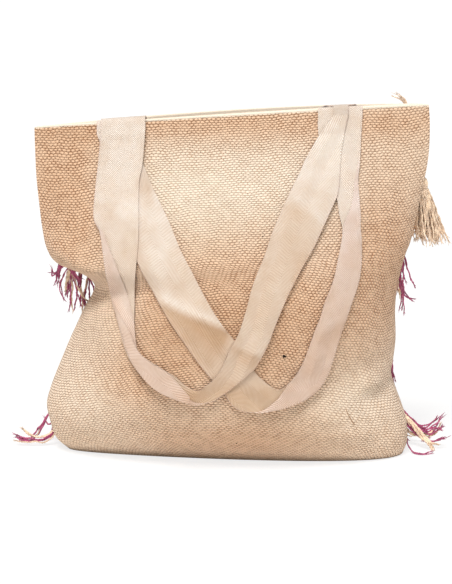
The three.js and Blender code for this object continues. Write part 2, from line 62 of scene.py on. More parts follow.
# The bag's outline and depth, one row for each section from the floor up. up is a share of the
# height, left and right are shares of half the rim's width, front and back go from the mouth's
# depth (0) to the belly's (1), and round goes from pointed seams (0) to an oval (1).
SECTIONS = np.array([
    (0.0, 0.84, 0.88, 0.38, 0.46, 1.5),
    (0.0345, 0.9, 0.9, 0.58, 0.64, 1.4),
    (0.086, 0.93, 0.895, 0.78, 0.82, 1.25),
    (0.132, 0.945, 0.87, 0.89, 0.91, 1.1),
    (0.1775, 0.925, 0.84, 0.95, 0.955, 1.0),
    (0.223, 0.895, 0.815, 0.98, 0.985, 0.9),
    (0.264, 0.865, 0.825, 0.99, 1.0, 0.8),
    (0.3245, 0.82, 0.835, 1.0, 1.0, 0.8),
    (0.405, 0.755, 0.83, 0.99, 0.955, 0.8),
    (0.461, 0.72, 0.835, 0.95, 0.91, 0.78),
    (0.511, 0.7, 0.85, 0.89, 0.85, 0.74),
    (0.5465, 0.695, 0.865, 0.85, 0.8, 0.7),
    (0.5765, 0.75, 0.88, 0.81, 0.76, 0.66),
    (0.606, 0.875, 0.9, 0.75, 0.7, 0.6),
    (0.6455, 0.927, 0.915, 0.675, 0.62, 0.52),
    (0.705, 0.95, 0.937, 0.555, 0.5, 0.42),
    (0.774, 0.963, 0.96, 0.385, 0.33, 0.3),
    (0.857, 0.975, 0.982, 0.19, 0.17, 0.16),
    (0.941, 0.979, 0.985, 0.06, 0.045, 0.05),
    (1.0, 0.98, 0.978, 0.0, 0.0, 0.0),
])

# Creases of the near wall, from the seam inwards: x, up, to x, to up, lip, ridge, reach. x is a
# share of half the width, up and reach of the height, lip and ridge of the near belly's depth.
CREASES = (
    (-0.92, 0.568, -0.6, 0.467, 0.1, 0.0, 0.03),
    (0.86, 0.218, 0.62, 0.203, 0.07, 0.0, 0.025),
    (-0.74, 0.436, -0.5, 0.335, 0.0, 0.04, 0.04),
)

# Soft dents of the near wall in mm: x, z, half length, half width, turn in degrees, height
DENTS = (
    (-60, 215, 70, 22, 10, -2.0),
    (30, 170, 90, 16, -8, 1.2),
    (135, 240, 60, 12, 80, -2.0),
    (-150, 60, 40, 14, 60, 1.5),
    (150, 30, 26, 9, 35, -3.0),
    (95, 60, 60, 18, 5, 1.5),
    (-90, 40, 60, 12, -6, -1.2),
    (0, 300, 110, 16, 3, -1.0),
)

# How much more open and darker the weave is in places of the near wall, partly from real stretch and partly
# as painted shade, and how much paler it is below 0, partly as painted light: x, z and half sizes in mm,
# share
STRETCHED_AND_SHADED = (
    # Painted shade is in the band under the rim (this first row), on the belly between the straps and on the
    # left side.
    (0, 332, 400, 19, 0.5),
    (-30, 268, 130, 36, -0.45),
    (20, 150, 85, 75, 0.85),
    (-165, 260, 50, 80, 0.85),
    (150, 200, 45, 85, 0.65),
    (0, 28, 110, 26, 0.5),
    (-130, 60, 40, 45, -0.2),
    (-62, 150, 32, 60, 0.5),
    (-100, 90, 36, 32, 0.45),
    (120, 65, 44, 38, -0.35),
)

# Folds across the straps in mm: x, z, to x, to z, height, and how far it fades above and below
STRAP_FOLDS = (
    (-66, 168, -4, 147, 3.0, 30, 4),
    (-130, 319, -84, 322, 0.9, 6, 3),
    (8, 129, 26, 122, 1.3, 5, 3),
    (84, 321, 108, 323, -0.9, 3, 3),
    (-128, 262, -92, 236, 0.8, 10, 5),
    (60, 262, 92, 240, 0.8, 14, 5),
    (84, 138, 106, 150, 0.8, 12, 5),
)

# Painted shade and painted light on the straps: x, z, half sizes in mm, share; above 0 painted shade where
# folds and the other strap shade them, below 0 painted light where they face the light
TAPE_SHADE_AND_LIGHT = (
    (-24, 124, 30, 24, 0.45),
    (-70, 206, 13, 34, -0.6),
    (-104, 165, 9, 30, -0.35),
    (45, 185, 12, 30, -0.3),
    (96, 230, 12, 40, -0.35),
    (-82, 272, 7, 18, 0.6),
    (54, 212, 32, 56, 0.6),
    (103, 312, 34, 26, -0.75),
    (-108, 318, 34, 18, -0.3),
    (-40, 82, 12, 10, 0.3),
)

# The far strap's edges on the near wall in mm, from its left leg round to its right one: outer x,
# outer z, inner x, inner z, the share of the tape that is turned back, outer lift, inner lift
FAR_STRAP = np.array([
    (-127, 323, -84, 327, 0, 2.7, 2.7),
    (-128, 312, -85, 313, 0, 2.7, 2.7),
    (-130, 291, -87, 292, 0, 2.7, 2.8),
    (-132, 274, -90, 276, 0, 2.7, 2.9),
    (-134, 243, -90, 246, 0, 2.9, 2.9),
    (-127, 229, -90, 232, 0.07, 2.9, 2.8),
    (-124, 212, -91, 213, 0.21, 2.8, 2.8),
    (-120, 182, -94, 181, 0.57, 2.6, 2.4),
    (-116, 162, -94, 161, 0.8, 2.5, 2),
    (-110, 148, -94, 146, 1, 2.5, 2),
    (-102, 122, -92, 127, 1, 2.5, 2),
    (-96, 110, -89, 119, 1, 2.6, 2),
    (-89, 101, -79, 112, 1, 2.9, 2),
    (-79, 91, -69, 107, 1, 3.2, 2),
    (-69, 86, -62, 103, 1, 3.4, 2),
    (-59, 81, -54, 99, 0.9, 3.6, 2.4),
    (-47, 76, -45, 91, 0.5, 3.6, 2.6),
    (-36, 73, -33, 86, 0.15, 3.6, 2.9),
    (-20, 76, -25, 91, 0, 3.6, 3.1),
    (-6, 85, -18, 97, 0, 3.4, 3.1),
    (6, 95, -11, 106, 0, 3.2, 3),
    (20, 107, -3, 124, 0, 3.1, 2.9),
    (27, 118, 3, 136, 0, 2.9, 2.9),
    (35, 134, 8, 147, 0, 2.8, 2.9),
    (41, 150, 14, 166, 0, 2.6, 2.9),
    (51, 173, 21, 190, 0, 2.5, 2.8),
    (65, 199, 32, 215, 0, 2.4, 2.6),
    (77, 217, 38, 232, 0, 2.4, 2.5),
    (85, 232, 46, 249, 0, 2.5, 2.4),
    (95, 252, 56, 269, 0, 2.6, 2.4),
    (102, 266, 62, 280, 0, 2.7, 2.5),
    (104, 279, 67, 289, 0, 2.8, 2.6),
    (105, 293, 71, 298, 0, 2.9, 2.6),
    (106, 305, 77, 308, 0, 2.9, 2.7),
    (108, 316, 83, 318, 0, 2.9, 2.7),
    (110, 327, 90, 328, 0, 2.8, 2.7),
    (113, 340, 99, 340, 0, 2.8, 2.7),
])

# The far strap's second roll, lying over the first
FAR_ROLL = np.array([
    (-116, 163, -115, 161, 0, 5.0, 5.0),
    (-110, 148, -106, 149, 0, 6.0, 6.0),
    (-105, 135, -99, 139, 0, 6.3, 6.3),
    (-101, 122, -95, 130, 0, 6.3, 6.3),
    (-96, 110, -89, 120, 0, 6.5, 6.3),
    (-89, 101, -79, 112, 0, 7.0, 6.0),
    (-79, 91, -69, 107, 0, 8.0, 6.0),
    (-70, 85, -62, 103, 0, 8.5, 6.0),
    (-61, 81, -55, 97, 0, 8.5, 5.6),
    (-50, 77, -47, 88, 0, 8.0, 5.4),
    (-41, 74, -40, 80, 0, 6.5, 5.0),
])

# The near strap's edges, under the far one
NEAR_STRAP = np.array([
    (-131, 321, -87, 326, 0, 1.0, 1.0),
    (-128, 312, -86, 314, 0, 1.0, 1.0),
    (-126, 296, -87, 297, 0, 1.0, 1.0),
    (-122, 274, -82, 284, 0, 1.0, 1.0),
    (-114, 254, -76, 271, 0, 1.0, 1.2),
    (-107, 240, -69, 258, 0, 1.0, 1.2),
    (-98, 221, -60, 241, 0, 1.0, 1.5),
    (-86, 195, -49, 217, 0, 1.2, 2.0),
    (-76, 177, -38, 198, 0, 1.2, 2.0),
    (-65, 160, -27, 178, 0, 1.2, 1.6),
    (-56, 147, -17, 162, 0, 1.2, 1.2),
    (-45, 132, -6, 147, 0, 1.0, 1.0),
    (-35, 118, 3, 135, 0, 1.0, 1.0),
    (-24, 104, 12, 121, 0, 1.0, 1.0),
    (-16, 94, 18, 111, 0, 1.0, 1.0),
    (-9, 86, 22, 105, 0, 1.2, 1.0),
    (-4, 79, 25, 101, 0, 1.8, 1.0),
    (1, 72, 29, 97, 0, 2.6, 1.0),
    (9, 67, 33, 93, 0, 3.2, 1.0),
    (18, 65, 37, 90, 0, 3.6, 1.2),
    (29, 65, 41, 87, 0.1, 4.0, 1.6),
    (41, 67, 45, 86, 0.5, 4.0, 2.0),
    (51, 69, 49, 87, 0.85, 4.0, 2.0),
    (61, 72, 54, 91, 1, 3.6, 2.0),
    (69, 75, 58, 95, 1, 3.2, 1.8),
    (78, 80, 62, 100, 1, 2.8, 1.6),
    (85, 86, 65, 105, 1, 2.4, 1.5),
    (91, 95, 68, 111, 1, 2.0, 1.5),
    (96, 108, 71, 118, 1, 2.0, 1.5),
    (100, 122, 75, 129, 1, 1.8, 1.5),
    (105, 138, 80, 143, 1, 1.6, 1.5),
    (110, 151, 85, 155, 1, 1.5, 1.5),
    (115, 165, 89, 168, 1, 1.5, 1.5),
    (121, 181, 96, 184, 1, 1.5, 1.5),
    (124, 195, 100, 197, 1, 1.5, 1.5),
    (125, 209, 103, 210, 1, 1.5, 1.5),
    (125, 222, 106, 223, 1, 1.5, 1.5),
    (124, 234, 107, 235, 0.97, 1.4, 1.4),
    (124, 246, 104, 248, 0.6, 1.2, 1.2),
    (123, 260, 102, 262, 0.27, 1.0, 1.0),
    (122, 278, 96, 279, 0.1, 1.0, 1.0),
    (124, 292, 91, 293, 0.04, 1.0, 1.0),
    (125, 306, 87, 307, 0, 1.0, 1.0),
    (126, 325, 84, 326, 0, 1.0, 1.0),
    (127, 340, 84, 339, 0, 1.0, 1.0),
])

# Loose yarn that shows past the sides: colour, strands, then in mm their thickness, how far they
# part and the points that they pass
LOOSE = {
    "fringe_upper": (
        ("cream", 4, 3.0, 1.4, ((-140, 12, 206), (-155, 14, 194), (-163, 14, 178), (-167, 16, 160))),
        ("plum", 7, 1.5, 2.4, ((-150, 10, 206), (-164, 10, 196), (-172, 12, 182), (-175, 12, 170))),
        ("plum", 6, 1.4, 2.4, ((-144, 14, 202), (-155, 12, 188), (-161, 14, 172), (-163, 14, 157))),
        ("plum", 5, 1.4, 1.6, ((-172, 8, 200), (-164, 6, 190), (-158, 6, 178), (-153, 8, 172))),
        ("plum", 3, 1.4, 1.8, ((-154, 10, 200), (-166, 10, 186), (-176, 12, 177), (-182, 14, 176))),
        ("plum", 4, 1.4, 2.0, ((-158, 12, 190), (-150, 10, 182), (-142, 12, 178), (-135, 16, 180))),
        ("cream", 2, 1.9, 1.4, ((-156, 14, 192), (-147, 12, 185), (-140, 14, 181), (-134, 16, 183))),
        ("plum", 2, 1.3, 1.0, ((-160, 12, 190), (-169, 12, 174), (-172, 14, 162), (-170, 14, 150))),
        ("cream", 2, 2.2, 0.8, ((162, 14, 196), (167, 12, 182), (169, 12, 168), (170, 12, 156))),
        ("plum", 4, 1.5, 1.4, ((163, 14, 186), (168, 12, 168), (171, 12, 154), (172, 14, 140))),
        ("plum", 3, 1.4, 1.2, ((164, 14, 182), (171, 12, 166), (176, 12, 156), (180, 12, 150))),
    ),
    "fringe_middle": (
        ("plum", 3, 1.5, 0.8, ((156, 16, 100), (161, 14, 88), (163, 14, 78), (165, 14, 66))),
        ("plum", 2, 1.4, 0.6, ((158, 16, 90), (162, 14, 78), (164, 14, 68), (166, 16, 58))),
    ),
    "fringe_lower": (
        ("plum", 4, 1.7, 1.5, ((-172, 6, 22), (-186, 0, 9), (-200, -2, 6), (-211, -2, 7), (-218, -2, 9))),
        ("cream", 2, 1.9, 1.2, ((-172, 6, 26), (-184, 2, 12), (-196, 0, 9), (-206, 0, 12), (-211, 0, 16))),
        ("plum", 1, 1.5, 0.5, ((-170, 6, 30), (-180, 4, 24), (-185, 2, 22), (-189, 2, 26))),
        ("cream", 1, 1.7, 0.8, ((-172, 4, 22), (-186, -2, 5), (-200, -4, 4), (-211, -4, 5), (-217, -4, 6))),
        ("cream", 3, 2.6, 1.5, ((168, 8, 38), (182, -4, 25), (194, -14, 11), (204, -20, 4))),
        ("cream", 2, 2.4, 1.3, ((170, 8, 26), (184, -2, 14), (197, -6, 14), (206, -8, 20))),
        ("plum", 4, 1.6, 1.6, ((168, 8, 42), (182, 0, 28), (194, -6, 20), (204, -8, 24), (210, -8, 33))),
        ("plum", 4, 1.6, 1.8, ((170, 6, 34), (186, -4, 22), (199, -8, 16), (208, -10, 18), (213, -10, 21))),
        ("plum", 3, 1.5, 1.5, ((176, 0, 24), (190, -8, 12), (202, -12, 8), (209, -12, 10), (213, -14, 12))),
        ("plum", 2, 1.5, 1.0, ((176, -10, 14), (180, -26, 4), (190, -34, 2), (200, -32, 2))),
        ("cream", 1, 1.8, 0.8, ((190, -10, 12), (202, -6, 12), (209, -4, 18), (212, -4, 22))),
    ),
}

# How the cloth's mesh begins under the foot (shares of the foot in x and y), turns over the rim
# (in degrees) and ends inside (shares of the inner foot), and how many rows go down inside
FOOT_RINGS = ((0.314, 0.02), (0.65, 0.5), (0.97, 0.9))
RIM_TURNS = (35, 65, 90, 115, 145)
INNER_RINGS = ((0.6, 0.5), (0.2, 0.02))
INNER_ROWS = 44
INNER_FOOT = 0.012
CROWDED_SEAMS = 0.35

# How open the weave is where no table says otherwise, inside the bag, and along its plain edge
OPEN = 0.45
OPEN_INSIDE = 0.1
PLAIN_EDGE = -1.0

# How the rim's left end sinks: its curve along the rim, and the heights between which it sets in
SINK_CURVE = 1.5
SINK_UP = (0.4, 0.56)

# How a crease fades past its inner end and before its outer one, in shares of its length
CREASE_INNER = (1.15, 0.45)
CREASE_OUTER = (-0.35, 0.05)

# The cloth's ripple in mm: its height, and how far two crossing waves go in x and z by a radian
RIPPLE = 0.5
RIPPLE_WAVES = ((17, 41), (-60, 23))

# Shares of the height: up to where the foot is skewed, and where dents set in and fade out
SKEW_TOP = 0.3
DENTS_START = (0, 0.06)
DENTS_STOP = (1, 0.9)

# The grid that finds the bag's own box, and the rounds that find a place on its wall
BOX_TURNS = 241
BOX_ROWS = 101
ROUNDS = 12

# A bump of the weave: its half sizes in shares of its cell, and how far noise moves it
BUMP_WIDE = 0.64
BUMP_HIGH = 0.34
BUMP_SIDEWAYS = 0.5
BUMP_UPWARDS = 0.9

# A strap's section: mesh points along its base and its turned-back flap, the angles round the
# bend between them, the bend's least width and the gap between the layers in mm, and the share
# turned back at which the bend is full
BASE_POINTS = 12
BASE_SPREAD = 0.9
FLAP_POINTS = 10
BEND_ANGLES = (-50, 0, 50)
FLAT_BEND = 0.2
LAYER_GAP = 0.5
FULL_BEND = 0.12

# A strap over the rim: the flat tape's width and the gap to the cloth in mm, the bend's radius in
# cloth thicknesses, and where inside the wall it is sewn on, in shares of its sewn end
TAPE_WIDTH = 44.0
RIM_GAP = 0.5
RIM_BEND = 0.72
SEWN_DOWN = (1, 0.75, 0.5, 0.25)

# A strap's folds in mm: how far they fade past their ends, where light turns to shade, how far
# the lit and the shaded side reach, and the height that gives full shade
FOLD_OUT, FOLD_IN = 8, 2
FOLD_EDGE = (-5, 4)
FOLD_LIT, FOLD_SHADED = 11, 22
FOLD_LIGHT = 0.8
FOLD_FULL = 3

# Pitch of the slanted lines on the tape in metres, and the angle from which its edges look sharp
LINE_PITCH = 0.0018
TAPE_EDGE = math.radians(50)

# Two plies of yarn: how fast they turn, how far out they lie and how thick they are, in shares of
# the yarn's thickness, and in mm the least height above the floor
TWIST = 2.4
PLY_OUT = 0.22
PLY_THICK = 0.3
FLOOR_GAP = 0.6
FRAYS = 4

# The yarns' face slots
PLUM, CREAM = 0, 1

# The fringe in mm: its heading's cords (how far down, colour), their thickness and stand-off
HEADING_CORDS = ((1.2, CREAM), (3.6, PLUM), (6.0, CREAM))
HEADING_THICK = 2.6
HEADING_OUT = 2.2
KNOT_DOWN = 7
STRANDS_PER_KNOT = 4
PLUM_SHARE = 0.68
CORNER_LEAN = math.radians(42)

# The upper row's strands are shorter by the sides: past what share of half the width, and the
# share of their length that they keep
SIDE_FROM = 0.86
SIDE_LENGTH = 0.74

# A tassel: where along it its profile is set, its head's bulge (place, radius), the three turns
# of its binding, and its skirt (place, reach)
TASSEL_PLACES = (0, 0.25, 0.6, 1)
HEAD_ROWS = ((0.0, 0.3), (0.05, 0.78), (0.11, 0.86), (0.18, 0.66), (0.24, 0.74))
BINDING = (0.165, 0.195, 0.225)
SKIRT_ROWS = ((0.2, 0.34), (0.4, 0.5), (0.7, 0.78))
HEAD_LOBES = 14
GOLDEN_TURN = 2.39996

# Marks on the near wall in mm: spots (x, z, radius) and the pulled thread's route (x, z)
SPOTS = ((50, 119, 1.5), (51.6, 118.2, 0.8), (5, 27, 0.6), (-60, 190, 0.5), (30, 230, 0.5), (140, 150, 0.5))
THREAD = ((111, 61), (114, 54), (118, 47), (120, 43))

# Stitches in mm: how far they spread across a strap, their pitch and length, and their lines
STITCH_SPREAD = 17
STITCH_PITCH = 4.2
STITCH_LENGTH = 2.8
STITCH_LINES = (0.3, 0.9)

# The stage in metres: half the floor's side, where the lights stand and what they look at, and in
# mm what the camera looks at
FLOOR_HALF = 30
KEY_PLACE = (-0.3, -0.78, 2.0)
FILL_PLACE = (0.5, -2.2, 0.9)
FILL_SIZE = 1.6
LIT_PLACE = (0, 0, 0.15)
SEEN_PLACE = (-5.5, 0, 160)


def length(name, description, default):
    return FloatProperty(name=name, description=description, default=default,
                         unit="LENGTH", subtype="DISTANCE")


def angle(name, description, degrees):
    return FloatProperty(name=name, description=description, default=math.radians(degrees),
                         unit="ROTATION", subtype="ANGLE")


def colour(name, description, default):
    return FloatVectorProperty(name=name, description=description, default=default, size=3,
                               subtype="COLOR")


class BagSettings(bpy.types.PropertyGroup):
    """Sizes and colours of the woven bag"""
    width: length("Rim width", "From side seam to side seam along the rim", 0.395)
    height: length("Height", "From the floor to the rim's higher end", 0.348)
    rim_drop: length("Rim drop", "How much lower the rim's left end has sunk", 0.022)
    mouth: length("Mouth", "Across the open mouth", 0.030)
    belly_front: length("Near belly", "How far the near wall stands out", 0.101)
    belly_back: length("Far belly", "How far the far wall stands out", 0.084)
    foot_skew: length("Foot skew", "How much further forward the foot's right is", 0.018)
    wall: length("Cloth", "Thickness of the woven cloth", 0.0025)
    bump_wide: length("Bump width", "From one weft bump to the next in a row", 0.0044)
    bump_high: length("Bump height", "From one row to the next but one", 0.0052)
    columns: IntProperty(name="Columns", description="Mesh columns round the bag", default=300)
    rows: IntProperty(name="Rows", description="Mesh rows up the outside", default=168)
    # These four colours are mixed by the open value: its stretched end is partly painted shade and its slack
    # end partly painted light.
    pale: colour("Pale cream", "Of the bumps where the cloth is slack", (0.97, 0.86, 0.72))
    cream: colour("Cream", "Of the bumps where the cloth is stretched", (0.84, 0.57, 0.38))
    gap: colour("Gap", "Between the bumps of stretched cloth", (0.33, 0.13, 0.042))
    shut_gap: colour("Slack gap", "Between the bumps of slack cloth", (0.74, 0.54, 0.37))


class StrapSettings(bpy.types.PropertyGroup):
    """Sizes and colours of the tape straps"""
    thick: length("Tape", "Thickness of the tape", 0.0011)
    end: length("Sewn end", "Length sewn inside the wall, below the rim", 0.034)
    rib: length("Rib", "Width of one rib of the herringbone", 0.011)
    steps: IntProperty(name="Steps", description="Mesh steps along a strap", default=220)
    tape: colour("Tape colour", "Of the herringbone face", (0.95, 0.90, 0.84))
    reverse: colour("Reverse colour", "Of the tape's smooth face", (0.88, 0.78, 0.74))


class YarnSettings(bpy.types.PropertyGroup):
    """Sizes and colours of the fringe and tassels"""
    fringe_height: length("Upper row", "From the floor to the upper row", 0.212)
    fringe_pitch: length("Row pitch", "From one row down to the next", 0.080)
    fringe_length: length("Fringe length", "Of a hanging strand", 0.056)
    strand_pitch: length("Knot pitch", "From one knot to the next along a row", 0.0095)
    tassel_height: length("Tassel line", "From the floor to the tassels' loops", 0.276)
    tassel_pitch: length("Tassel pitch", "From one tassel to the next", 0.084)
    tassel_length: length("Tassel length", "From its loop to its strands' ends", 0.068)
    tassel_head: length("Tassel head", "Radius of the tied head", 0.0065)
    tassel_flare: length("Tassel flare", "Radius of the skirt at its foot", 0.0180)
    tassel_lean: length("Tassel lean", "How far out the outermost skirt hangs", 0.012)
    tassels: IntProperty(name="Tassels", description="Tassels along the row", default=5)
    strands: IntProperty(name="Strands", description="Strands in a tassel's skirt", default=72)
    plum: colour("Plum", "Of the plum yarn", (0.40, 0.06, 0.165))
    cream: colour("Cream yarn", "Of the cream yarn", (0.84, 0.62, 0.45))


class StageSettings(bpy.types.PropertyGroup):
    """Light, floor and camera"""
    elevation: angle("Elevation", "Camera's angle above the horizon", 13)
    distance: length("Distance", "From the camera to what it looks at", 2.0)
    lens: FloatProperty(name="Lens", description="Focal length", default=123.3,
                        unit="CAMERA", subtype="DISTANCE_CAMERA")
    key: FloatProperty(name="Key light", description="Strength of the light from above", default=2.95)
    key_soft: angle("Key softness", "Angle over which the key light spreads", 22)
    fill: FloatProperty(name="Fill light", description="Power of the light in front", default=4.0,
                        unit="POWER")
    room: FloatProperty(name="Room light", description="Strength of the light all round", default=0.42)
    bounce: FloatProperty(name="Floor bounce", description="Share of light that the floor gives back",
                          default=0.95)
    glow: FloatProperty(name="Floor glow", description="How much of the floor's shadow is washed out",
                        default=0.78)


def smooth(start, stop, at):
    """A soft step, from 0 at start to 1 at stop."""
    t = np.clip((np.asarray(at, float) - start) / (stop - start), 0, 1)
    return t * t * (3 - 2 * t)


def spokes(turns):
    """Directions in the level plane, one row for each turn in radians."""
    turns = np.asarray(turns, float)
    return np.stack([np.cos(turns), np.sin(turns), np.zeros_like(turns)], -1)


def between(rows, at):
    """Rows of a table at places of its first column, on a smooth curve through them."""
    at = np.asarray(at, float)
    last = len(rows) - 1
    i = np.clip(np.searchsorted(rows[:, 0], at), 1, last)
    a, b, c, d = (rows[np.clip(i + k, 0, last)] for k in (-2, -1, 0, 1))
    span = (c - b)[..., :1]
    t = np.clip((at[..., None] - b[..., :1]) / span, 0, 1)
    slope_b = (c - a) / (c - a)[..., :1] * span
    slope_c = (d - b) / (d - b)[..., :1] * span
    rise = b * (2 * t ** 3 - 3 * t ** 2 + 1) + c * (3 * t ** 2 - 2 * t ** 3)
    return rise + slope_b * (t ** 3 - 2 * t ** 2 + t) + slope_c * (t ** 3 - t ** 2)


def numbered(rows):
    """A table with its row numbers as first column."""
    rows = np.asarray(rows, float)
    return np.column_stack([np.arange(len(rows)), rows])


def patches(table, x, z, start):
    """The sum of a table's soft patches at places of the near wall, from -1 to 1.6."""
    share = start
    for sx, sz, wide, high, more in table:
        share = share + more * np.exp(-((x - sx) / wide) ** 2 - ((z - sz) / high) ** 2)
    return np.clip(share, -1, 1.6)


class Shell:
    """The bag's shape in mm, in a frame whose seam plane is y = 0."""

    def __init__(self, bag):
        self.width = bag.width * MM
        self.height = bag.height * MM
        self.drop = bag.rim_drop * MM
        self.mouth = bag.mouth * MM
        self.front = bag.belly_front * MM
        self.back = bag.belly_back * MM
        self.skew = bag.foot_skew * MM
        self.wall = bag.wall * MM
        low, high = (np.array(corner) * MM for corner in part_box("bag_cloth"))
        turns = np.linspace(-math.pi, math.pi, BOX_TURNS)[None, :]
        whole = self.point(turns, np.linspace(0, 1, BOX_ROWS)[:, None], 0, False).reshape(-1, 3)
        self.shift = (low + high) / 2 - (whole.min(0) + whole.max(0)) / 2
        self.shift[2] = 0

    def placed(self, points):
        """Points in metres in the part's frame."""
        return (np.asarray(points, float) + self.shift) / MM

    def sunk(self, u, up):
        """How far the rim and the cloth below it have sunk, by the place u along the rim."""
        return self.drop * ((1 - u) / 2) ** SINK_CURVE * smooth(*SINK_UP, up)

    def creased(self, x, z):
        """How far the creases push the near wall out."""
        out = 0
        for cx, cup, tx, tup, lip, ridge, reach in CREASES:
            start = np.array((cx * self.width / 2, cup * self.height))
            run = np.array((tx * self.width / 2, tup * self.height)) - start
            px, pz = x - start[0], z - start[1]
            t = (px * run[0] + pz * run[1]) / (run @ run)
            side = np.sign(run[0]) * (run[0] * pz - run[1] * px) / np.hypot(*run)
            d = side / (reach * self.height)
            fade = smooth(*CREASE_INNER, t) * smooth(*CREASE_OUTER, t)
            out = out + self.front * fade * np.exp(0.5 - 0.5 * d * d) * (lip * d + ridge)
        return out

    def dented(self, x, z):
        """How far the soft dents and the ripple push the near wall out."""
        out = 0
        for dx, dz, along, across, turn, height in DENTS:
            c, s = math.cos(math.radians(turn)), math.sin(math.radians(turn))
            a = ((x - dx) * c + (z - dz) * s) / along
            b = ((z - dz) * c - (x - dx) * s) / across
            out = out + height * np.exp(-a * a - b * b)
        first, second = (np.sin(x / wx + z / wz) for wx, wz in RIPPLE_WAVES)
        return out + RIPPLE * first * second

    def section(self, up, wall):
        """Half the width, its middle, the depth of either wall and the seams' sharpness at a height."""
        s = between(SECTIONS, up)
        left, right = s[..., 1] * self.width / 2, s[..., 2] * self.width / 2
        front = self.mouth / 2 + (self.front - self.mouth / 2) * s[..., 3]
        back = self.mouth / 2 + (self.back - self.mouth / 2) * s[..., 4]
        half = (left + right) / 2
        inset = wall * (1 + np.maximum(0, 1 - s[..., 5]) * half / (front + back))
        return half - inset, (right - left) / 2, front - wall, back - wall, 1 - s[..., 5] / 2

    def point(self, turn, up, wall, fine=True):
        """A point of the shell: turn goes round it from the right seam over the far wall."""
        turn, up = np.broadcast_arrays(turn, up)
        half, middle, front, back, power = self.section(up, wall)
        u = np.cos(turn)
        depth = np.maximum(0, 1 - u * u) ** power
        x = middle + half * u
        z = up * self.height - self.sunk(u, up)
        skew = self.skew * u * smooth(SKEW_TOP, 0, up)
        bent = self.creased(x, z) * np.minimum(1, 2 * depth)
        if fine:
            bent = bent + self.dented(x, z) * depth * smooth(*DENTS_START, up) * smooth(*DENTS_STOP, up)
        near = -(front + skew) * depth - bent
        y = np.where(np.sin(turn) > 1e-9, back * depth, near)
        return np.stack([x, y, z], -1)

    def wall_y(self, x, z, near, fine=True):
        """How far from the seam plane a wall's outer face is at places of it."""
        x, z = np.broadcast_arrays(np.asarray(x, float), np.asarray(z, float))
        up = z / self.height
        for _ in range(ROUNDS):
            half, middle = self.section(np.clip(up, 0, 1), 0)[:2]
            u = np.clip((x - middle) / half, -1, 1)
            up = (z + self.sunk(u, up)) / self.height
        turn = np.arccos(u) * (-1 if near else 1)
        return self.point(turn, np.clip(up, 0, 1), 0, fine)[..., 1]

    def rim(self, x):
        """The rim's height at places along it."""
        return self.height - self.sunk(np.clip(2 * np.asarray(x) / self.width, -1, 1), 1)


class Graph:
    """A material's nodes, joined by short calls."""
    SPECULAR = 0.15
    SHEEN_ROUGHNESS = 0.6

    def __init__(self, name, base, roughness=0.92, sheen=0.25):
        self.material = bpy.data.materials.new(name)
        self.material.use_nodes = True
        self.tree = self.material.node_tree
        self.shader = self.tree.nodes["Principled BSDF"]
        self.shader.inputs["Base Color"].default_value = (*base, 1)
        self.shader.inputs["Roughness"].default_value = roughness
        self.shader.inputs["Specular IOR Level"].default_value = self.SPECULAR
        self.shader.inputs["Sheen Weight"].default_value = sheen
        self.shader.inputs["Sheen Roughness"].default_value = self.SHEEN_ROUGHNESS
        self.material.diffuse_color = (*base, 1)

    def node(self, kind, **inputs):
        made = self.tree.nodes.new("ShaderNode" + kind)
        for name, value in inputs.items():
            self.put(made.inputs[name.replace("_", " ")], value)
        return made

    def put(self, socket, value):
        if isinstance(value, bpy.types.NodeSocket):
            self.tree.links.new(value, socket)
        else:
            socket.default_value = value

    def place(self):
        return self.node("TexCoord").outputs["Object"]

    def flat(self):
        """The two coordinates of a place on the flat cloth or tape."""
        return self.node("SeparateXYZ", Vector=self.node("UVMap").outputs[0]).outputs[:2]

    def value(self, name):
        """A named value of the mesh's points."""
        made = self.node("Attribute")
        made.attribute_name = name
        return made.outputs["Fac"]

    def math(self, operation, *values):
        made = self.tree.nodes.new("ShaderNodeMath")
        made.operation = operation
        for socket, value in zip(made.inputs, values):
            self.put(socket, value)
        return made.outputs[0]

    def mapped(self, value, low, high, to_low, to_high):
        made = self.node("MapRange", Value=value, From_Min=low, From_Max=high, To_Min=to_low, To_Max=to_high)
        made.interpolation_type = "SMOOTHSTEP"
        return made.outputs[0]

    def noise(self, where, scale, detail=2.0):
        return self.node("TexNoise", Vector=where, Scale=scale, Detail=detail).outputs["Fac"]

    def mixed(self, share, first, second, blend="MIX"):
        made = self.tree.nodes.new("ShaderNodeMix")
        made.data_type = "RGBA"
        made.blend_type = blend
        for index, value in ((0, share), (6, first), (7, second)):
            self.put(made.inputs[index], value if not isinstance(value, tuple) else (*value, 1))
        return made.outputs[2]

    def tinted(self, share, base, tint):
        return self.mixed(share, base, tint, "MULTIPLY")

    def bumped(self, height, strength, distance):
        made = self.node("Bump", Height=height, Strength=strength, Distance=distance)
        self.put(self.shader.inputs["Normal"], made.outputs[0])

    def coloured(self, base):
        self.put(self.shader.inputs["Base Color"], base)


def woven_bumps(g, place, bag):
    """The staggered oval bumps of weft, from 0 in the gaps to 1 on top."""
    across, along = g.flat()
    slow = g.math("SUBTRACT", g.noise(place, scale=55, detail=1), 0.5)
    quick = g.math("SUBTRACT", g.noise(place, scale=260, detail=1), 0.5)
    u = g.math("MULTIPLY_ADD", across, FLAT_M / bag.bump_wide, g.math("MULTIPLY", quick, BUMP_SIDEWAYS))
    v = g.math("MULTIPLY_ADD", along, FLAT_M / bag.bump_high, g.math("MULTIPLY", slow, BUMP_UPWARDS))
    far = []
    for offset in (0, 0.5):
        t = g.math("SUBTRACT", g.math("FRACT", g.math("ADD", u, offset)), 0.5)
        s = g.math("SUBTRACT", g.math("FRACT", g.math("ADD", v, offset)), 0.5)
        wide = g.math("POWER", g.math("DIVIDE", g.math("ABSOLUTE", t), BUMP_WIDE), 2)
        high = g.math("DIVIDE", s, BUMP_HIGH)
        far.append(g.math("MULTIPLY_ADD", high, high, wide))
    return g.math("MAXIMUM", g.math("SUBTRACT", 1, g.math("MINIMUM", *far)), 0)


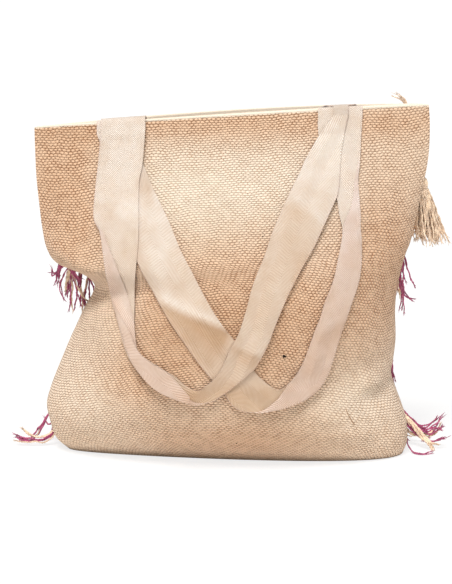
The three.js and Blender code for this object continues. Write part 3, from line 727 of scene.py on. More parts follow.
def weave_material(bag):
    """Thick cotton: cream bumps with brown gaps between them, wider and darker where the cloth is stretched
    and where the open value paints shade.
    """
    g = Graph("woven_cotton", bag.cream)
    place = g.place()
    bump = woven_bumps(g, place, bag)
    fibre = g.noise(place, scale=1500, detail=3)
    stretch_and_shade = g.value("open")
    woven = g.mapped(stretch_and_shade, 0.8 * PLAIN_EDGE, 0, 0, 1)
    worn = g.mapped(g.noise(place, scale=120), 0.3, 0.7, -0.12, 0.12)
    cover = g.mapped(g.math("ADD", bump, worn), 0.1, 0.84, 0, 1)
    cover = g.math("MAXIMUM", cover, g.math("SUBTRACT", 1, woven))
    # Gaps and bumps deepen with the open value, for the weave's stretch and for painted shade alike.
    gap = g.mixed(stretch_and_shade, tuple(bag.shut_gap), tuple(bag.gap))
    cream = g.mixed(stretch_and_shade, tuple(bag.pale), tuple(bag.cream))
    # Painted shade: where the open value passes 0.9 the cream is tinted darker still.
    cream = g.tinted(g.mapped(stretch_and_shade, 0.9, 1.6, 0, 1), cream, (0.8, 0.74, 0.68))
    soiled = g.mapped(g.noise(place, scale=14, detail=3), 0.3, 0.7, 0, 0.5)
    cream = g.tinted(soiled, cream, (0.94, 0.9, 0.85))
    cream = g.tinted(g.mapped(fibre, 0.35, 0.7, 0, 0.4), cream, (0.8, 0.76, 0.7))
    g.coloured(g.mixed(cover, gap, cream))
    relief = g.math("MULTIPLY", woven, g.math("POWER", bump, 0.6))
    g.bumped(g.math("MULTIPLY_ADD", fibre, 0.2, relief), strength=1, distance=0.0022)
    return g.material


def tape_material(name, base, rib, depth, low):
    """Cotton tape: ribs of slanted lines that turn back on each other, with painted shade lower down, in the
    bottom fold and where the shade value is above 0, and painted light where it is below 0.
    """
    g = Graph(name, base, 0.85)
    place = g.place()
    across, along = g.flat()
    zigzag = g.math("PINGPONG", g.math("MULTIPLY", across, FLAT_M), rib)
    slant = g.math("MULTIPLY_ADD", along, FLAT_M, zigzag)
    line = g.math("SINE", g.math("MULTIPLY", slant, 2 * math.pi / LINE_PITCH))
    grime = g.mapped(g.noise(place, scale=40, detail=3), 0.35, 0.7, 0, 1)
    tone = g.mixed(grime, tuple(base), tuple(c * f for c, f in zip(base, (0.93, 0.88, 0.83))))
    height = g.node("SeparateXYZ", Vector=place).outputs[2]
    shade = g.value("shade")
    # Painted shade: the tape grows darker from 0.27 m down to 0.16 m above the floor, where less light
    # reaches it.
    tone = g.tinted(g.mapped(height, 0.27, 0.16, 0, 1), tone, (0.89, 0.81, 0.73))
    # Painted shade in the fold at a strap's bottom, as strong as low.
    tone = g.tinted(g.mapped(height, 0.11, 0.075, 0, low), tone, (0.88, 0.8, 0.7))
    # Painted shade where the shade value is above 0, and painted light where it is below 0.
    tone = g.tinted(shade, tone, (0.80, 0.66, 0.52))
    tone = g.mixed(g.mapped(shade, -1, 0, 1, 0), tone, (0.97, 0.93, 0.87))
    mottle = g.mapped(g.noise(place, scale=170, detail=3), 0.35, 0.65, 0, 1)
    tone = g.tinted(mottle, tone, (0.985, 0.97, 0.95))
    g.coloured(g.tinted(g.mapped(line, -1, 0.5, depth, 0), tone, (0.72, 0.55, 0.43)))
    fibre = g.noise(place, scale=1400, detail=3)
    crumple = g.math("MULTIPLY", g.noise(place, scale=55), 6)
    relief = g.math("ADD", g.math("MULTIPLY_ADD", fibre, 0.5, g.math("MULTIPLY", line, depth)), crumple)
    g.bumped(relief, strength=0.6, distance=0.0008)
    return g.material


def yarn_material(name, base):
    """Twisted yarn with lighter and darker fibres."""
    g = Graph(name, base, 0.9, 0.4)
    place = g.place()
    patch = g.mapped(g.noise(place, scale=220), 0.35, 0.7, 0, 1)
    light = tuple(min(1, c * 1.25 + 0.02) for c in base)
    g.coloured(g.mixed(patch, tuple(c * 0.8 for c in base), light))
    g.bumped(g.noise(place, scale=1800), strength=0.5, distance=0.0004)
    return g.material


def plain_material(name, base):
    return Graph(name, base, 0.95, 0.0).material


def shared(name, make, *values):
    """A material of this name, made once."""
    return bpy.data.materials.get(name) or make(*values)


def yarn_materials(yarns):
    """The yarns' materials, in the order of their face slots."""
    return [
        shared("plum_twist", yarn_material, "plum_twist", yarns.plum),
        shared("cream_twist", yarn_material, "cream_twist", yarns.cream),
    ]


def made_object(name, points, faces, materials, slots=None, flat=None, values=None):
    """A smooth mesh object: points in metres, a material slot for each face, and for each point a
    place on the flat cloth in mm and any named values."""
    data = bpy.data.meshes.new(name)
    data.from_pydata(points.tolist(), [], faces)
    for one in materials:
        data.materials.append(one)
    if slots is not None:
        data.polygons.foreach_set("material_index", np.asarray(slots, np.int32))
    if flat is not None:
        corners = np.empty(len(data.loops), np.int32)
        data.loops.foreach_get("vertex_index", corners)
        data.uv_layers.new(name="UVMap").data.foreach_set("uv", (flat / FLAT_MM)[corners].ravel())
    for key, numbers in (values or {}).items():
        layer = data.attributes.new(key, "FLOAT", "POINT")
        layer.data.foreach_set("value", numbers.ravel().astype(np.float32))
    data.polygons.foreach_set("use_smooth", np.ones(len(data.polygons), bool))
    data.update()
    made = bpy.data.objects.new(name, data)
    bpy.context.scene.collection.objects.link(made)
    return made


def grid_faces(rows, columns):
    """The faces of a grid of points whose rows close on themselves."""
    i = np.arange(rows - 1)[:, None]
    j = np.arange(columns)[None, :]
    k = (j + 1) % columns
    corners = (i * columns + j, i * columns + k, (i + 1) * columns + k, (i + 1) * columns + j)
    return np.stack(corners, -1).reshape(-1, 4)


def frame_along(route, hint):
    """The directions along a route, and two across it. No part of it runs along the hint."""
    run = np.gradient(route, axis=0)
    run /= np.linalg.norm(run, axis=1)[:, None] + 1e-9
    aside = np.cross(run, hint)
    aside /= np.linalg.norm(aside, axis=1)[:, None] + 1e-9
    return run, aside, np.cross(run, aside)


class Yarns:
    """Strands of yarn gathered into one mesh."""

    def __init__(self, seed):
        self.points, self.faces, self.slots = [], [], []
        self.count = 0
        self.random = random.Random(seed)

    def tube(self, route, radius, slot, sides=5, taper=0.6):
        """A tube round a route of points in mm, thinner at its end."""
        route = np.asarray(route, float)
        _, aside, out = frame_along(route, (0.31, 0.9, 0.29))
        size = radius * np.interp(np.linspace(0, 1, len(route)), (0, 0.85, 1), (1, 1, taper))[:, None, None]
        turn = np.arange(sides) * 2 * math.pi / sides
        ring = aside[:, None, :] * np.cos(turn)[:, None] + out[:, None, :] * np.sin(turn)[:, None]
        self.points.append((route[:, None, :] + ring * size).reshape(-1, 3))
        faces = grid_faces(len(route), sides) + self.count
        self.faces.extend(faces.tolist())
        last = self.count + (len(route) - 1) * sides
        self.faces.append([self.count + k for k in range(sides)][::-1])
        self.faces.append([last + k for k in range(sides)])
        self.slots.extend([slot] * (len(faces) + 2))
        self.count += len(route) * sides

    def yarn(self, points, thick, slot, steps=12, frayed=True, kink=0.0):
        """Two plies twisted round each other along a curve through some points."""
        rows = numbered(points)
        at = np.linspace(0, len(rows) - 1, steps)
        route = between(rows, at)[:, 1:]
        along = np.concatenate([[0], np.cumsum(np.linalg.norm(np.diff(route, axis=0), axis=1))])
        phase = along * 2 * math.pi / (TWIST * thick) + self.random.random() * 6
        run, aside, out = frame_along(route, (0.2, 0.93, 0.3))
        if kink:
            first, second = (self.random.random() * 6 for _ in range(2))
            loose = kink * np.minimum(1, along / 6)
            route = route + aside * (loose * np.sin(along / 1.9 + first))[:, None]
            route = route + out * (loose * np.sin(along / 2.7 + second))[:, None]
        for half in (0, math.pi):
            spoke = aside * np.cos(phase + half)[:, None] + out * np.sin(phase + half)[:, None]
            ply = route + spoke * thick * PLY_OUT
            ply[:, 2] = np.maximum(ply[:, 2], FLOOR_GAP + thick * PLY_THICK)
            self.tube(ply, thick * PLY_THICK, slot)
        if frayed:
            self.fray(route[-1], run[-1], thick, slot)

    def fray(self, end, run, thick, slot):
        """Thin fibres that part at a strand's end."""
        for _ in range(FRAYS):
            aim = run * self.random.uniform(2, 4.5) + np.array([self.random.gauss(0, 1.1) for _ in range(3)])
            ends = [end - run * 1.5, end + aim * 0.5, end + aim]
            ends = [np.array((p[0], p[1], max(p[2], FLOOR_GAP))) for p in ends]
            self.tube(ends, thick * 0.16, slot, 3, 0.3)

    def made(self, name, shell, materials):
        points = shell.placed(np.concatenate(self.points))
        return made_object(name, points, self.faces, materials, self.slots)


def cloth_grid(shell, columns, rows):
    """Points of the whole bag, in rows from under its foot over the rim and down inside."""
    turn = np.linspace(0, 2 * math.pi, columns, endpoint=False)[None, :]
    turn = turn - CROWDED_SEAMS * np.sin(2 * turn) / 2
    foot = shell.point(turn, np.array([[0.0]]), 0)
    foot[..., 2] = 0
    parts = [foot * np.array((*shares, 1)) for shares in FOOT_RINGS]
    outer = shell.point(turn, np.linspace(0, 1, rows)[:, None], 0)
    parts.append(outer)
    inner = shell.point(turn, np.linspace(1, INNER_FOOT, INNER_ROWS)[:, None], shell.wall)
    middle = (outer[-1:] + inner[:1]) / 2
    half = (outer[-1:] - inner[:1]) / 2
    for degrees in RIM_TURNS:
        c, s = math.cos(math.radians(degrees)), math.sin(math.radians(degrees))
        parts.append(middle + half * c + np.array((0, 0, 1)) * s * shell.wall * 0.5)
    parts.append(inner)
    parts += [inner[-1:] * np.array((*shares, 1)) for shares in INNER_RINGS]
    return np.concatenate(parts)


def flat_places(points):
    """Each grid point's place on the cloth in mm: round from the front middle, and up. Most of the
    unevenness in going up is left out, so that the rows of the weave stay level."""
    rows, columns = points.shape[:2]
    around = np.linalg.norm(np.roll(points, -1, 1) - points, axis=2)
    around = np.concatenate([np.zeros((rows, 1)), np.cumsum(around, 1)[:, :-1]], 1)
    whole = around[:, -1:]
    front = around[np.arange(rows), int(columns * 0.75)][:, None]
    u = (around - front) / np.maximum(whole, 1) * np.median(whole)
    up = np.linalg.norm(np.diff(points, axis=0), axis=2)
    up = np.concatenate([np.zeros((1, columns)), np.cumsum(up, 0)], 0)
    even = up / up[-1:] * np.median(up[-1])
    return np.stack([u, even + (up - even) * 0.12], -1)


def add_cloth(context):
    """The bag itself, with its weave more open and darker where it is stretched and where shade is painted
    into it.
    """
    bag = context.scene.bag_cloth_settings
    shell = Shell(bag)
    points = cloth_grid(shell, bag.columns, bag.rows)
    # The open value carries the weave's stretch and also painted shade (darker) and painted light (paler).
    openness_and_shade = np.maximum(patches(STRETCHED_AND_SHADED, points[..., 0], points[..., 2], OPEN), 0)
    rim = len(FOOT_RINGS) + bag.rows
    inside = rim + len(RIM_TURNS)
    openness_and_shade[inside:] = OPEN_INSIDE
    openness_and_shade[rim - 1:inside + 1] = PLAIN_EDGE
    made = made_object(
        "woven_bag", shell.placed(points.reshape(-1, 3)), grid_faces(*points.shape[:2]).tolist(),
        [shared("woven_cotton", weave_material, bag)],
        flat=flat_places(points).reshape(-1, 2), values={"open": openness_and_shade})
    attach(made, "root")
    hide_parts("bag_cloth")
    return made


def strap_section(width, fold, thick):
    """Corners round a strap's section, as offsets from its inner edge and heights, and their places
    across the tape. A share of its width, fold, is turned back over it."""
    flap = fold * width
    bend = (FLAT_BEND + (thick + LAYER_GAP - FLAT_BEND) * smooth(0, FULL_BEND, fold)) / 2
    base = np.linspace(0, 1, BASE_POINTS) ** BASE_SPREAD * width
    line = [(s, 0.0, 0.0, 1.0, s) for s in base]
    for degrees in BEND_ANGLES:
        c, s = math.cos(math.radians(degrees)), math.sin(math.radians(degrees))
        line.append((width + bend * c, bend + bend * s, -c, -s, width))
    line += [(width - s, 2 * bend, 0.0, -1.0, width + s) for s in np.linspace(0, 1, FLAP_POINTS) * flap]
    line = np.array(line)
    face = line[:, :2] + line[:, 2:4] * thick / 2
    back = line[:, :2] - line[:, 2:4] * thick / 2
    corners = np.concatenate([face, back[::-1]])
    corners[:, 1] += thick / 2
    across = np.concatenate([line[:, 4], line[::-1, 4]])
    return corners, across


def rim_route(shell, x, far, thick, end):
    """Where a strap's lower face goes over the near rim at places along it, as (steps, n, 2)."""
    top = shell.rim(x)
    middle_y = shell.wall_y(x, top, True) + shell.wall / 2
    middle_z = top - shell.wall / 2
    bend = shell.wall * RIM_BEND + RIM_GAP + (thick + RIM_GAP if far else 0)

    def inside(z):
        if far:
            return shell.wall_y(x, z, False) - shell.wall - 2 * RIM_GAP - thick
        return shell.wall_y(x, z, True) + shell.wall + 2 * RIM_GAP

    route = [np.stack([inside(top - share * end), top - share * end], -1) for share in SEWN_DOWN]
    if far:
        leaves = inside(top)
        route.append(np.stack([leaves - RIM_GAP, top - RIM_GAP], -1))
        route.append(np.stack([(leaves + middle_y) / 2, top + bend / 2], -1))
    for turn in range(60 if far else 0, 181, 30):
        a = math.radians(turn)
        route.append(np.stack([middle_y + bend * math.cos(a), middle_z + bend * math.sin(a)], -1))
    return np.stack(route)


def rim_stations(shell, straps, row, far):
    """The rings of a strap's end, from inside the wall to just outside the rim."""
    thick, end = straps.thick * MM, straps.end * MM
    outer, inner = row[0], row[2]
    middle, facing = (outer + inner) / 2, np.sign(outer - inner)
    corners, across = strap_section(TAPE_WIDTH, 0, thick)
    narrow, _ = strap_section(abs(outer - inner), 0, thick)
    steps = len(rim_route(shell, np.array([middle]), far, thick, end))
    rings = []
    for i in range(steps):
        share = float(smooth(0.2, 0.8, i / (steps - 1)))
        section = corners * (1 - share) + narrow * share
        wide = TAPE_WIDTH * (1 - share) + abs(outer - inner) * share
        x = middle + facing * (section[:, 0] - wide / 2)
        route = rim_route(shell, x, far, thick, end)
        run = route[min(steps - 1, i + 1)] - route[max(0, i - 1)]
        run /= np.linalg.norm(run, axis=1)[:, None]
        y = route[i][:, 0] + run[:, 1] * section[:, 1]
        z = route[i][:, 1] - run[:, 0] * section[:, 1]
        rings.append(np.stack([x, y, z], -1))
    return np.array(rings), np.tile(across, (steps, 1))


def folded(x, z):
    """How far the straps' folds stand out at places of the near wall, and the shade painted below them and
    the light painted above them.
    """
    out = shade = 0
    for fx, fz, tx, tz, height, above, below in STRAP_FOLDS:
        whole = math.hypot(tx - fx, tz - fz)
        run = np.array((tx - fx, tz - fz)) / whole
        along = (x - fx) * run[0] + (z - fz) * run[1]
        up = (z - fz) * run[0] - (x - fx) * run[1]
        ends = smooth(-FOLD_OUT, FOLD_IN, along) * smooth(whole + FOLD_OUT, whole - FOLD_IN, along)
        out = out + height * ends * np.exp(-(up / np.where(up > 0, above, below)) ** 2)
        over = smooth(*FOLD_EDGE, up)
        dark = (1 - over) * np.exp(-(up / FOLD_SHADED) ** 2)
        bright = FOLD_LIGHT * over * np.exp(-(up / FOLD_LIT) ** 2)
        shade = shade + height / FOLD_FULL * ends * (dark - bright)
    return out, shade


def lying_stations(shell, rows, steps, thick):
    """The rings of a strap where it lies on the near wall, bridging the wall's small hollows."""
    table = numbered(rows)
    fitted = np.polynomial.polynomial.polyval
    rings, places = [], []
    for at in np.linspace(0, len(rows) - 1, steps):
        ox, oz, ix, iz, fold, out_lift, in_lift = between(table, at)[1:]
        width = math.hypot(ox - ix, oz - iz)
        corners, across = strap_section(width, float(np.clip(fold, 0, 1)), thick)
        share = corners[:, 0] / width
        x = ix + (ox - ix) * share
        z = iz + (oz - iz) * share
        ends = np.linspace(0, 1, 5)
        under = [shell.wall_y(ix + (ox - ix) * ends, iz + (oz - iz) * ends + d, True) for d in (-2, 2)]
        wall = np.minimum(*under)
        fit = np.polynomial.polynomial.polyfit(ends, wall, 2)
        slack = min(0, float((wall - fitted(ends, fit)).min()))
        y = fitted(np.clip(share, -0.1, 1.1), fit) + slack
        y = y - (in_lift + (out_lift - in_lift) * share) - corners[:, 1] - folded(x, z)[0]
        rings.append(np.stack([x, y, z], -1))
        places.append(across)
    return np.array(rings), np.array(places)


def strap_mesh(shell, straps, rows, far, whole):
    """A strap's points, flat places, faces and face slots (0 herringbone, 1 reverse). A whole strap
    has its ends over the rim, and a roll shows its reverse alone."""
    rings, across = lying_stations(shell, rows, straps.steps, straps.thick * MM)
    if whole:
        first, first_across = rim_stations(shell, straps, rows[0], far)
        last, last_across = rim_stations(shell, straps, rows[-1], far)
        rings = np.concatenate([first, rings, last[::-1]])
        across = np.concatenate([first_across, across, last_across[::-1]])
    steps, count = rings.shape[:2]
    along = np.linalg.norm(np.diff(rings.mean(1), axis=0), axis=1)
    along = np.concatenate([[0], np.cumsum(along)])
    flat = np.stack([across, np.repeat(along[:, None], count, 1)], -1)
    side = np.arange(count)[None, :].repeat(steps - 1, 0).ravel()
    slots = (side >= count // 2).astype(int) if whole else np.ones_like(side)
    caps = [list(range(count))[::-1], [(steps - 1) * count + k for k in range(count)]]
    faces = grid_faces(steps, count).tolist() + caps
    return rings.reshape(-1, 3), flat.reshape(-1, 2), faces, slots.tolist() + [0, 0]


def add_strap(context, name, node, far, *tables):
    """A strap from the table of its edges, with a table for each further roll of it."""
    shell = Shell(context.scene.bag_cloth_settings)
    straps = context.scene.bag_strap_settings
    # The last number says how much shade is painted into the bottom fold: full on the face, none on the
    # reverse.
    face = shared("tape_face", tape_material, "tape_face", straps.tape, straps.rib, 0.9, 1)
    reverse = shared("tape_reverse", tape_material, "tape_reverse", straps.reverse, straps.rib, 0.7, 0)
    points, flat, faces, slots = [], [], [], []
    for index, table in enumerate(tables):
        p, f, q, s = strap_mesh(shell, straps, table, far, index == 0)
        first = sum(map(len, points))
        faces += [[corner + first for corner in one] for one in q]
        slots += s
        points.append(p)
        flat.append(f)
    points = np.concatenate(points)
    x, z = points[:, 0], points[:, 2]
    # The shade value: painted shade and painted light from the table of patches and from the folds.
    made = made_object(
        name, shell.placed(points), faces, [face, reverse], slots, np.concatenate(flat),
        {"shade": patches(TAPE_SHADE_AND_LIGHT, x, z, folded(x, z)[1])})
    made.data.set_sharp_from_angle(angle=TAPE_EDGE)
    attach(made, "root")
    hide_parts(node)
    return made


def far_place(shell, share, height, out):
    """A place along a row on the far wall: share from the left seam (0) to the right one (1)."""
    turn = math.acos(max(-1, min(1, 2 * share - 1)))
    p = shell.point(np.array(turn), np.array(height / shell.height), 0, False)
    y = float(shell.wall_y(p[0], p[2], False, False))
    return np.array((p[0], y + out, p[2]))


def hanging(shell, rnd, start, knot, reach, lean):
    """The points of a strand that hangs from a knot down the far wall, never through the floor."""
    drift = rnd.gauss(0, 5)
    points = [start + np.array((rnd.gauss(0, 1.4), 0, 0)), knot + np.array((rnd.gauss(0, 0.8), 0.5, 0))]
    for step in (0.4, 0.7, 1.0):
        z = knot[2] - reach * step * math.cos(lean)
        x = knot[0] + drift * step + reach * step * math.sin(lean) + rnd.gauss(0, 0.6)
        wall = float(shell.wall_y(x, max(z, 4), False, False))
        y = max(wall + 2.6, knot[1] * 0.4 + wall * 0.6) + rnd.uniform(0, 3)
        if z < 2:
            y += 2 - z
            z = 2
        points.append(np.array((x, y, z)))
    return points


def add_knots(made, shell, yarns, index, height):
    """The knots of a row of fringe, each with its strands."""
    rnd = made.random
    count = int(shell.width / (yarns.strand_pitch * MM))
    for i in range(count):
        share = (i + 0.5) / count
        side = 2 * share - 1
        start = far_place(shell, share, height - 5, 3.0)
        knot = start + np.array((0, 1.2, -KNOT_DOWN - rnd.random() * 3))
        lean = CORNER_LEAN * side ** 9 if index == 2 else 0
        short = SIDE_LENGTH if index == 0 and abs(side) > SIDE_FROM else 1
        for _ in range(STRANDS_PER_KNOT):
            reach = yarns.fringe_length * MM * rnd.uniform(0.72, 1.0) * short
            points = hanging(shell, rnd, start, knot, reach, lean)
            made.yarn(points, rnd.uniform(1.9, 2.5), PLUM if rnd.random() < PLUM_SHARE else CREAM,
                      steps=14, kink=0.4)
        lump = knot + np.array(((-1.6, 1.4, 0.8), (0, 2.2, 0), (1.6, 1.4, -0.8)))
        made.tube(lump, 1.7, rnd.choice((PLUM, CREAM)), 6, 0.8)


def add_loose(made, name):
    """The loose strands that show past the sides, where the photo shows them."""
    rnd = made.random
    for colour_name, strands, thick, spread, points in LOOSE[name]:
        for _ in range(strands):
            apart = np.array([[rnd.gauss(0, spread * 0.85) for _ in range(3)] for _ in points])
            apart *= np.linspace(0.5, 1.2, len(points))[:, None]
            route = np.array(points) + apart
            route[:, 2] = np.maximum(route[:, 2], thick * 0.6)
            made.yarn(route, thick * 1.25, CREAM if colour_name == "cream" else PLUM, steps=30, kink=0.3)


def add_fringe_row(context, index, name):
    """A row of fringe: a heading of three cords, knots with strands, and loose strands."""
    shell = Shell(context.scene.bag_cloth_settings)
    yarns = context.scene.bag_yarn_settings
    made = Yarns(11 + index)
    height = (yarns.fringe_height - index * yarns.fringe_pitch) * MM
    for drop, slot in HEADING_CORDS:
        route = [far_place(shell, s, height - drop, HEADING_OUT) for s in np.linspace(0.02, 0.98, 60)]
        made.yarn(route, HEADING_THICK, slot, steps=150, frayed=False)
    add_knots(made, shell, yarns, index, height)
    add_loose(made, name)
    piece = made.made(name.replace("fringe", "yarn_fringe"), shell, yarn_materials(yarns))
    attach(piece, "root")
    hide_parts(name)
    return piece


def tassel_axis(shell, yarns, index):
    """A tassel's middle line down the far wall, clear of it, as a function of the place along it."""
    head, flare = yarns.tassel_head * MM, yarns.tassel_flare * MM
    x = shell.width / 2 - head - index * yarns.tassel_pitch * MM
    height = yarns.tassel_height * MM
    lean = yarns.tassel_lean * MM if index == 0 else 0
    top = height - float(shell.sunk(2 * x / shell.width, height / shell.height))
    line = []
    for at, radius in zip(TASSEL_PLACES, (head, head, flare, flare)):
        z = top - at * yarns.tassel_length * MM
        walls = [float(shell.wall_y(x + radius * a, z, False, False)) + radius * math.sqrt(1 - a * a)
                 for a in (-0.85, -0.5, 0, 0.5, 0.85)]
        line.append([x + lean * (at - 0.35), max(walls) + 0.4, z])
    for k in range(1, len(line)):
        line[k][1] = max(line[k][1], line[k - 1][1])
    table = numbered(line)

    def axis(at):
        return between(table, np.interp(at, TASSEL_PLACES, range(len(line))))[..., 1:]

    return axis


def add_tassel(context, index):
    """A tassel: a lobed head, three turns of binding and a skirt of loose strands."""
    shell = Shell(context.scene.bag_cloth_settings)
    yarns = context.scene.bag_yarn_settings
    made = Yarns(40 + index)
    rnd = made.random
    head, flare = yarns.tassel_head * MM, yarns.tassel_flare * MM
    axis = tassel_axis(shell, yarns, index)
    for spoke in spokes(2 * math.pi * np.arange(HEAD_LOBES) / HEAD_LOBES):
        made.tube([axis(at) + spoke * r * head for at, r in HEAD_ROWS], 1.35, CREAM, 5, 1)
    for at in BINDING:
        made.tube(axis(at) + spokes(np.linspace(0, 6.3, 18)) * head * 0.86, 0.75, CREAM, 4, 1)
    for i, spoke in enumerate(spokes(np.arange(yarns.strands) * GOLDEN_TURN)):
        stands = math.sqrt((i + 0.5) / yarns.strands)
        points = []
        for at, reach in (*SKIRT_ROWS, (rnd.uniform(0.86, 1.0), 0.9)):
            jitter = np.array((rnd.gauss(0, 1.3), rnd.gauss(0, 1.3), 0)) * at
            points.append(axis(at) + spoke * stands * reach * flare * (1.15 - 0.15 * at) + jitter)
        made.yarn(points, rnd.uniform(1.7, 2.3), CREAM, steps=14, kink=0.5)
    piece = made.made(f"yarn_tassel_{index + 1}", shell, yarn_materials(yarns))
    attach(piece, "root")
    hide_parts(f"tassel_{index + 1}")
    return piece


def add_tuft(context):
    """The loose yarn end that stands behind the rim."""
    shell = Shell(context.scene.bag_cloth_settings)
    yarns = context.scene.bag_yarn_settings
    made = Yarns(71)
    low, high = (np.array(c) * MM - shell.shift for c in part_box("rim_tuft"))
    y = (low[1] + high[1]) / 2
    base, top = low[2] + 2, high[2]
    for k, (dx, lean) in enumerate(((0, -9), (1.4, -7), (-1.2, -11), (0.6, -4))):
        x = high[0] - 2.5 + dx
        bent = ((0, base), (0, base + 9), (lean * 0.35, base + 14), (lean, top - 1.5 - k))
        made.yarn([(x + aside, y, z) for aside, z in bent], 1.9, CREAM)
    piece = made.made("rim_yarn", shell, yarn_materials(yarns))
    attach(piece, "root")
    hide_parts("rim_tuft")
    return piece


def add_marks(context):
    """The small dark spot, a few flecks and the pulled thread on the near wall."""
    shell = Shell(context.scene.bag_cloth_settings)
    made = Yarns(83)
    for x, z, radius in SPOTS:
        y = float(shell.wall_y(x, z, True)) - 0.25
        made.tube([(x - radius * 0.5, y + 0.2, z), (x, y, z + 0.1), (x + radius * 0.5, y + 0.2, z)],
                  radius, 0, 8, 0.8)
    made.tube([(x, float(shell.wall_y(x, z, True)) - 0.1, z) for x, z in THREAD], 0.45, 1)
    piece = made.made("cloth_marks", shell, [
        shared("stain", plain_material, "stain", (0.02, 0.012, 0.008)),
        shared("pulled_thread", plain_material, "pulled_thread", (0.36, 0.22, 0.13))])
    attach(piece, "root")
    return piece


def add_stitches(context):
    """The stitches that hold the straps' ends inside the walls."""
    shell = Shell(context.scene.bag_cloth_settings)
    straps = context.scene.bag_strap_settings
    made = Yarns(90)
    for rows, far in ((NEAR_STRAP, False), (FAR_STRAP, True)):
        out = (shell.wall + 1.2 + straps.thick * MM) * (-1 if far else 1)
        for row in (rows[0], rows[-1]):
            middle = (row[0] + row[2]) / 2
            for down in STITCH_LINES:
                for x in np.arange(middle - STITCH_SPREAD, middle + STITCH_SPREAD, STITCH_PITCH):
                    z = float(shell.rim(x)) - down * straps.end * MM
                    y = float(shell.wall_y(x, z, not far, False)) + out
                    route = [(x + share * STITCH_LENGTH, y, z) for share in (0, 0.5, 1)]
                    made.tube(route, 0.35, 0, 4, 1)
    piece = made.made("strap_stitches", shell, [
        shared("stitch", plain_material, "stitch", (0.78, 0.68, 0.54))])
    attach(piece, "root")
    return piece


def white_room(strength):
    """A world that looks white and lights the bag more softly."""
    world = bpy.data.worlds.new("room")
    world.use_nodes = True
    tree = world.node_tree
    seen = tree.nodes.new("ShaderNodeLightPath").outputs["Is Camera Ray"]
    level = tree.nodes.new("ShaderNodeMapRange")
    level.inputs["To Min"].default_value = strength
    level.inputs["To Max"].default_value = 1.0
    tree.links.new(seen, level.inputs["Value"])
    tint = tree.nodes.new("ShaderNodeMix")
    tint.data_type = "RGBA"
    tint.inputs["A"].default_value = (1, 0.945, 0.88, 1)
    tint.inputs["B"].default_value = (1, 1, 1, 1)
    tree.links.new(seen, tint.inputs["Factor"])
    tree.links.new(tint.outputs["Result"], tree.nodes["Background"].inputs["Color"])
    tree.links.new(level.outputs[0], tree.nodes["Background"].inputs["Strength"])
    return world


def floor_material(bounce, glow):
    """A white floor with a faint shadow, that throws only part of its light back up."""
    g = Graph("pale_floor", (0.96, 0.96, 0.96), 0.95, 0.0)
    seen = g.node("LightPath").outputs["Is Camera Ray"]
    shown = 1 - glow
    g.coloured(g.mixed(seen, (bounce, bounce * 0.98, bounce * 0.95), (shown, shown, shown)))
    g.put(g.shader.inputs["Emission Color"], (1, 1, 1, 1))
    g.put(g.shader.inputs["Emission Strength"], g.math("MULTIPLY", seen, glow))
    return g.material


def aimed(data, place, direction):
    """A light's or camera's object at a place, looking in a direction."""
    made = bpy.data.objects.new(data.name, data)
    made.location = place
    made.rotation_euler = direction.to_track_quat("-Z", "Y").to_euler()
    bpy.context.scene.collection.objects.link(made)
    return made


def add_floor(stage):
    data = bpy.data.meshes.new("floor")
    corners = [(x * FLOOR_HALF, y * FLOOR_HALF, 0) for x, y in ((-1, -1), (1, -1), (1, 1), (-1, 1))]
    data.from_pydata(corners, [], [(0, 1, 2, 3)])
    data.materials.append(floor_material(stage.bounce, stage.glow))
    floor = bpy.data.objects.new("floor", data)
    bpy.context.scene.collection.objects.link(floor)
    return floor


def add_lights(stage):
    """A broad light from above, and a weak one in front."""
    key = bpy.data.lights.new("key", "SUN")
    key.energy = stage.key
    key.angle = stage.key_soft
    fill = bpy.data.lights.new("fill", "AREA")
    fill.energy = stage.fill
    fill.size = FILL_SIZE
    places = ((key, KEY_PLACE), (fill, FILL_PLACE))
    return [aimed(light, place, Vector(LIT_PLACE) - Vector(place)) for light, place in places]


def add_camera(stage, shell):
    back = Vector((0, -math.cos(stage.elevation), math.sin(stage.elevation)))
    data = bpy.data.cameras.new("camera")
    data.lens = stage.lens
    data.sensor_width = 36
    data.dof.use_dof = False
    return aimed(data, Vector(shell.placed(SEEN_PLACE)) + back * stage.distance, -back)


def add_stage(context):
    """Floor, lights, room, camera and what the render needs."""
    scene = context.scene
    stage = scene.bag_stage_settings
    floor = add_floor(stage)
    lights = add_lights(stage)
    scene.world = white_room(stage.room)
    scene.camera = add_camera(stage, Shell(scene.bag_cloth_settings))
    scene.render.engine = "CYCLES"
    scene.cycles.samples = 64
    scene.cycles.use_denoising = True
    scene.render.resolution_x = 452
    scene.render.resolution_y = 584
    scene.view_settings.view_transform = "Standard"
    scene.view_settings.look = "None"


class BagOperator:
    """What the bag's operators share."""
    bl_options = {"REGISTER", "UNDO"}

    def finished(self, *made):
        if not all(made):
            raise RuntimeError(f"{self.bl_label}: nothing was made")
        return {"FINISHED"}


class BAG_OT_cloth(BagOperator, bpy.types.Operator):
    """Make the woven bag"""
    bl_idname = "bag.cloth"
    bl_label = "Woven bag"

    def execute(self, context):
        return self.finished(add_cloth(context))


class BAG_OT_near_strap(BagOperator, bpy.types.Operator):
    """Make the near tape strap"""
    bl_idname = "bag.near_strap"
    bl_label = "Near strap"

    def execute(self, context):
        made = add_strap(context, "near_tape", "near_strap", False, NEAR_STRAP)
        return self.finished(made)


class BAG_OT_far_strap(BagOperator, bpy.types.Operator):
    """Make the far tape strap, over the near one"""
    bl_idname = "bag.far_strap"
    bl_label = "Far strap"

    def execute(self, context):
        made = add_strap(context, "far_tape", "far_strap", True, FAR_STRAP, FAR_ROLL)
        return self.finished(made)


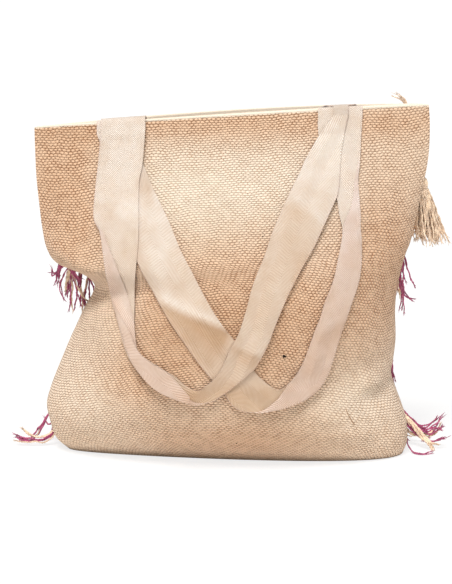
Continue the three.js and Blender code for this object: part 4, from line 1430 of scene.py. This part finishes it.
class BAG_OT_fringe(BagOperator, bpy.types.Operator):
    """Make the three rows of yarn fringe"""
    bl_idname = "bag.fringe"
    bl_label = "Yarn fringe"

    def execute(self, context):
        return self.finished(*(add_fringe_row(context, i, name) for i, name in enumerate(LOOSE)))


class BAG_OT_tassels(BagOperator, bpy.types.Operator):
    """Make the row of tassels"""
    bl_idname = "bag.tassels"
    bl_label = "Tassels"

    def execute(self, context):
        count = context.scene.bag_yarn_settings.tassels
        return self.finished(*(add_tassel(context, i) for i in range(count)))


class BAG_OT_tuft(BagOperator, bpy.types.Operator):
    """Make the loose yarn end at the rim"""
    bl_idname = "bag.tuft"
    bl_label = "Rim yarn"

    def execute(self, context):
        return self.finished(add_tuft(context))


class BAG_OT_marks(BagOperator, bpy.types.Operator):
    """Make the stain, the pulled thread and the stitches"""
    bl_idname = "bag.marks"
    bl_label = "Marks and stitches"

    def execute(self, context):
        made = [add_marks(context), add_stitches(context)]
        return self.finished(*made)


class BAG_OT_stage(BagOperator, bpy.types.Operator):
    """Make the floor, the lights and the camera"""
    bl_idname = "bag.stage"
    bl_label = "Stage"

    def execute(self, context):
        add_stage(context)
        return self.finished(context.scene.camera)


OPERATORS = (
    BAG_OT_cloth, BAG_OT_near_strap, BAG_OT_far_strap, BAG_OT_fringe, BAG_OT_tassels, BAG_OT_tuft,
    BAG_OT_marks, BAG_OT_stage,
)


class BAG_PT_panel(bpy.types.Panel):
    """The bag's operators, in the order in which they run"""
    bl_idname = "BAG_PT_panel"
    bl_label = "Fringed Bag"
    bl_space_type = "VIEW_3D"
    bl_region_type = "UI"
    bl_category = "Fringed Bag"

    def draw(self, context):
        for operator in OPERATORS:
            self.layout.operator(operator.bl_idname)


SETTINGS = {
    "bag_cloth_settings": BagSettings,
    "bag_strap_settings": StrapSettings,
    "bag_yarn_settings": YarnSettings,
    "bag_stage_settings": StageSettings,
}


def register():
    for name, group in SETTINGS.items():
        bpy.utils.register_class(group)
        setattr(bpy.types.Scene, name, PointerProperty(type=group))
    for one in (*OPERATORS, BAG_PT_panel):
        bpy.utils.register_class(one)


def unregister():
    for one in (BAG_PT_panel, *reversed(OPERATORS)):
        bpy.utils.unregister_class(one)
    for name, group in SETTINGS.items():
        delattr(bpy.types.Scene, name)
        bpy.utils.unregister_class(group)


def main():
    register()
    for operator in OPERATORS:
        group, name = operator.bl_idname.split(".")
        if getattr(getattr(bpy.ops, group), name)() != {"FINISHED"}:
            raise RuntimeError(f"{operator.bl_label} did not finish")


if __name__ == "__main__":
    main()
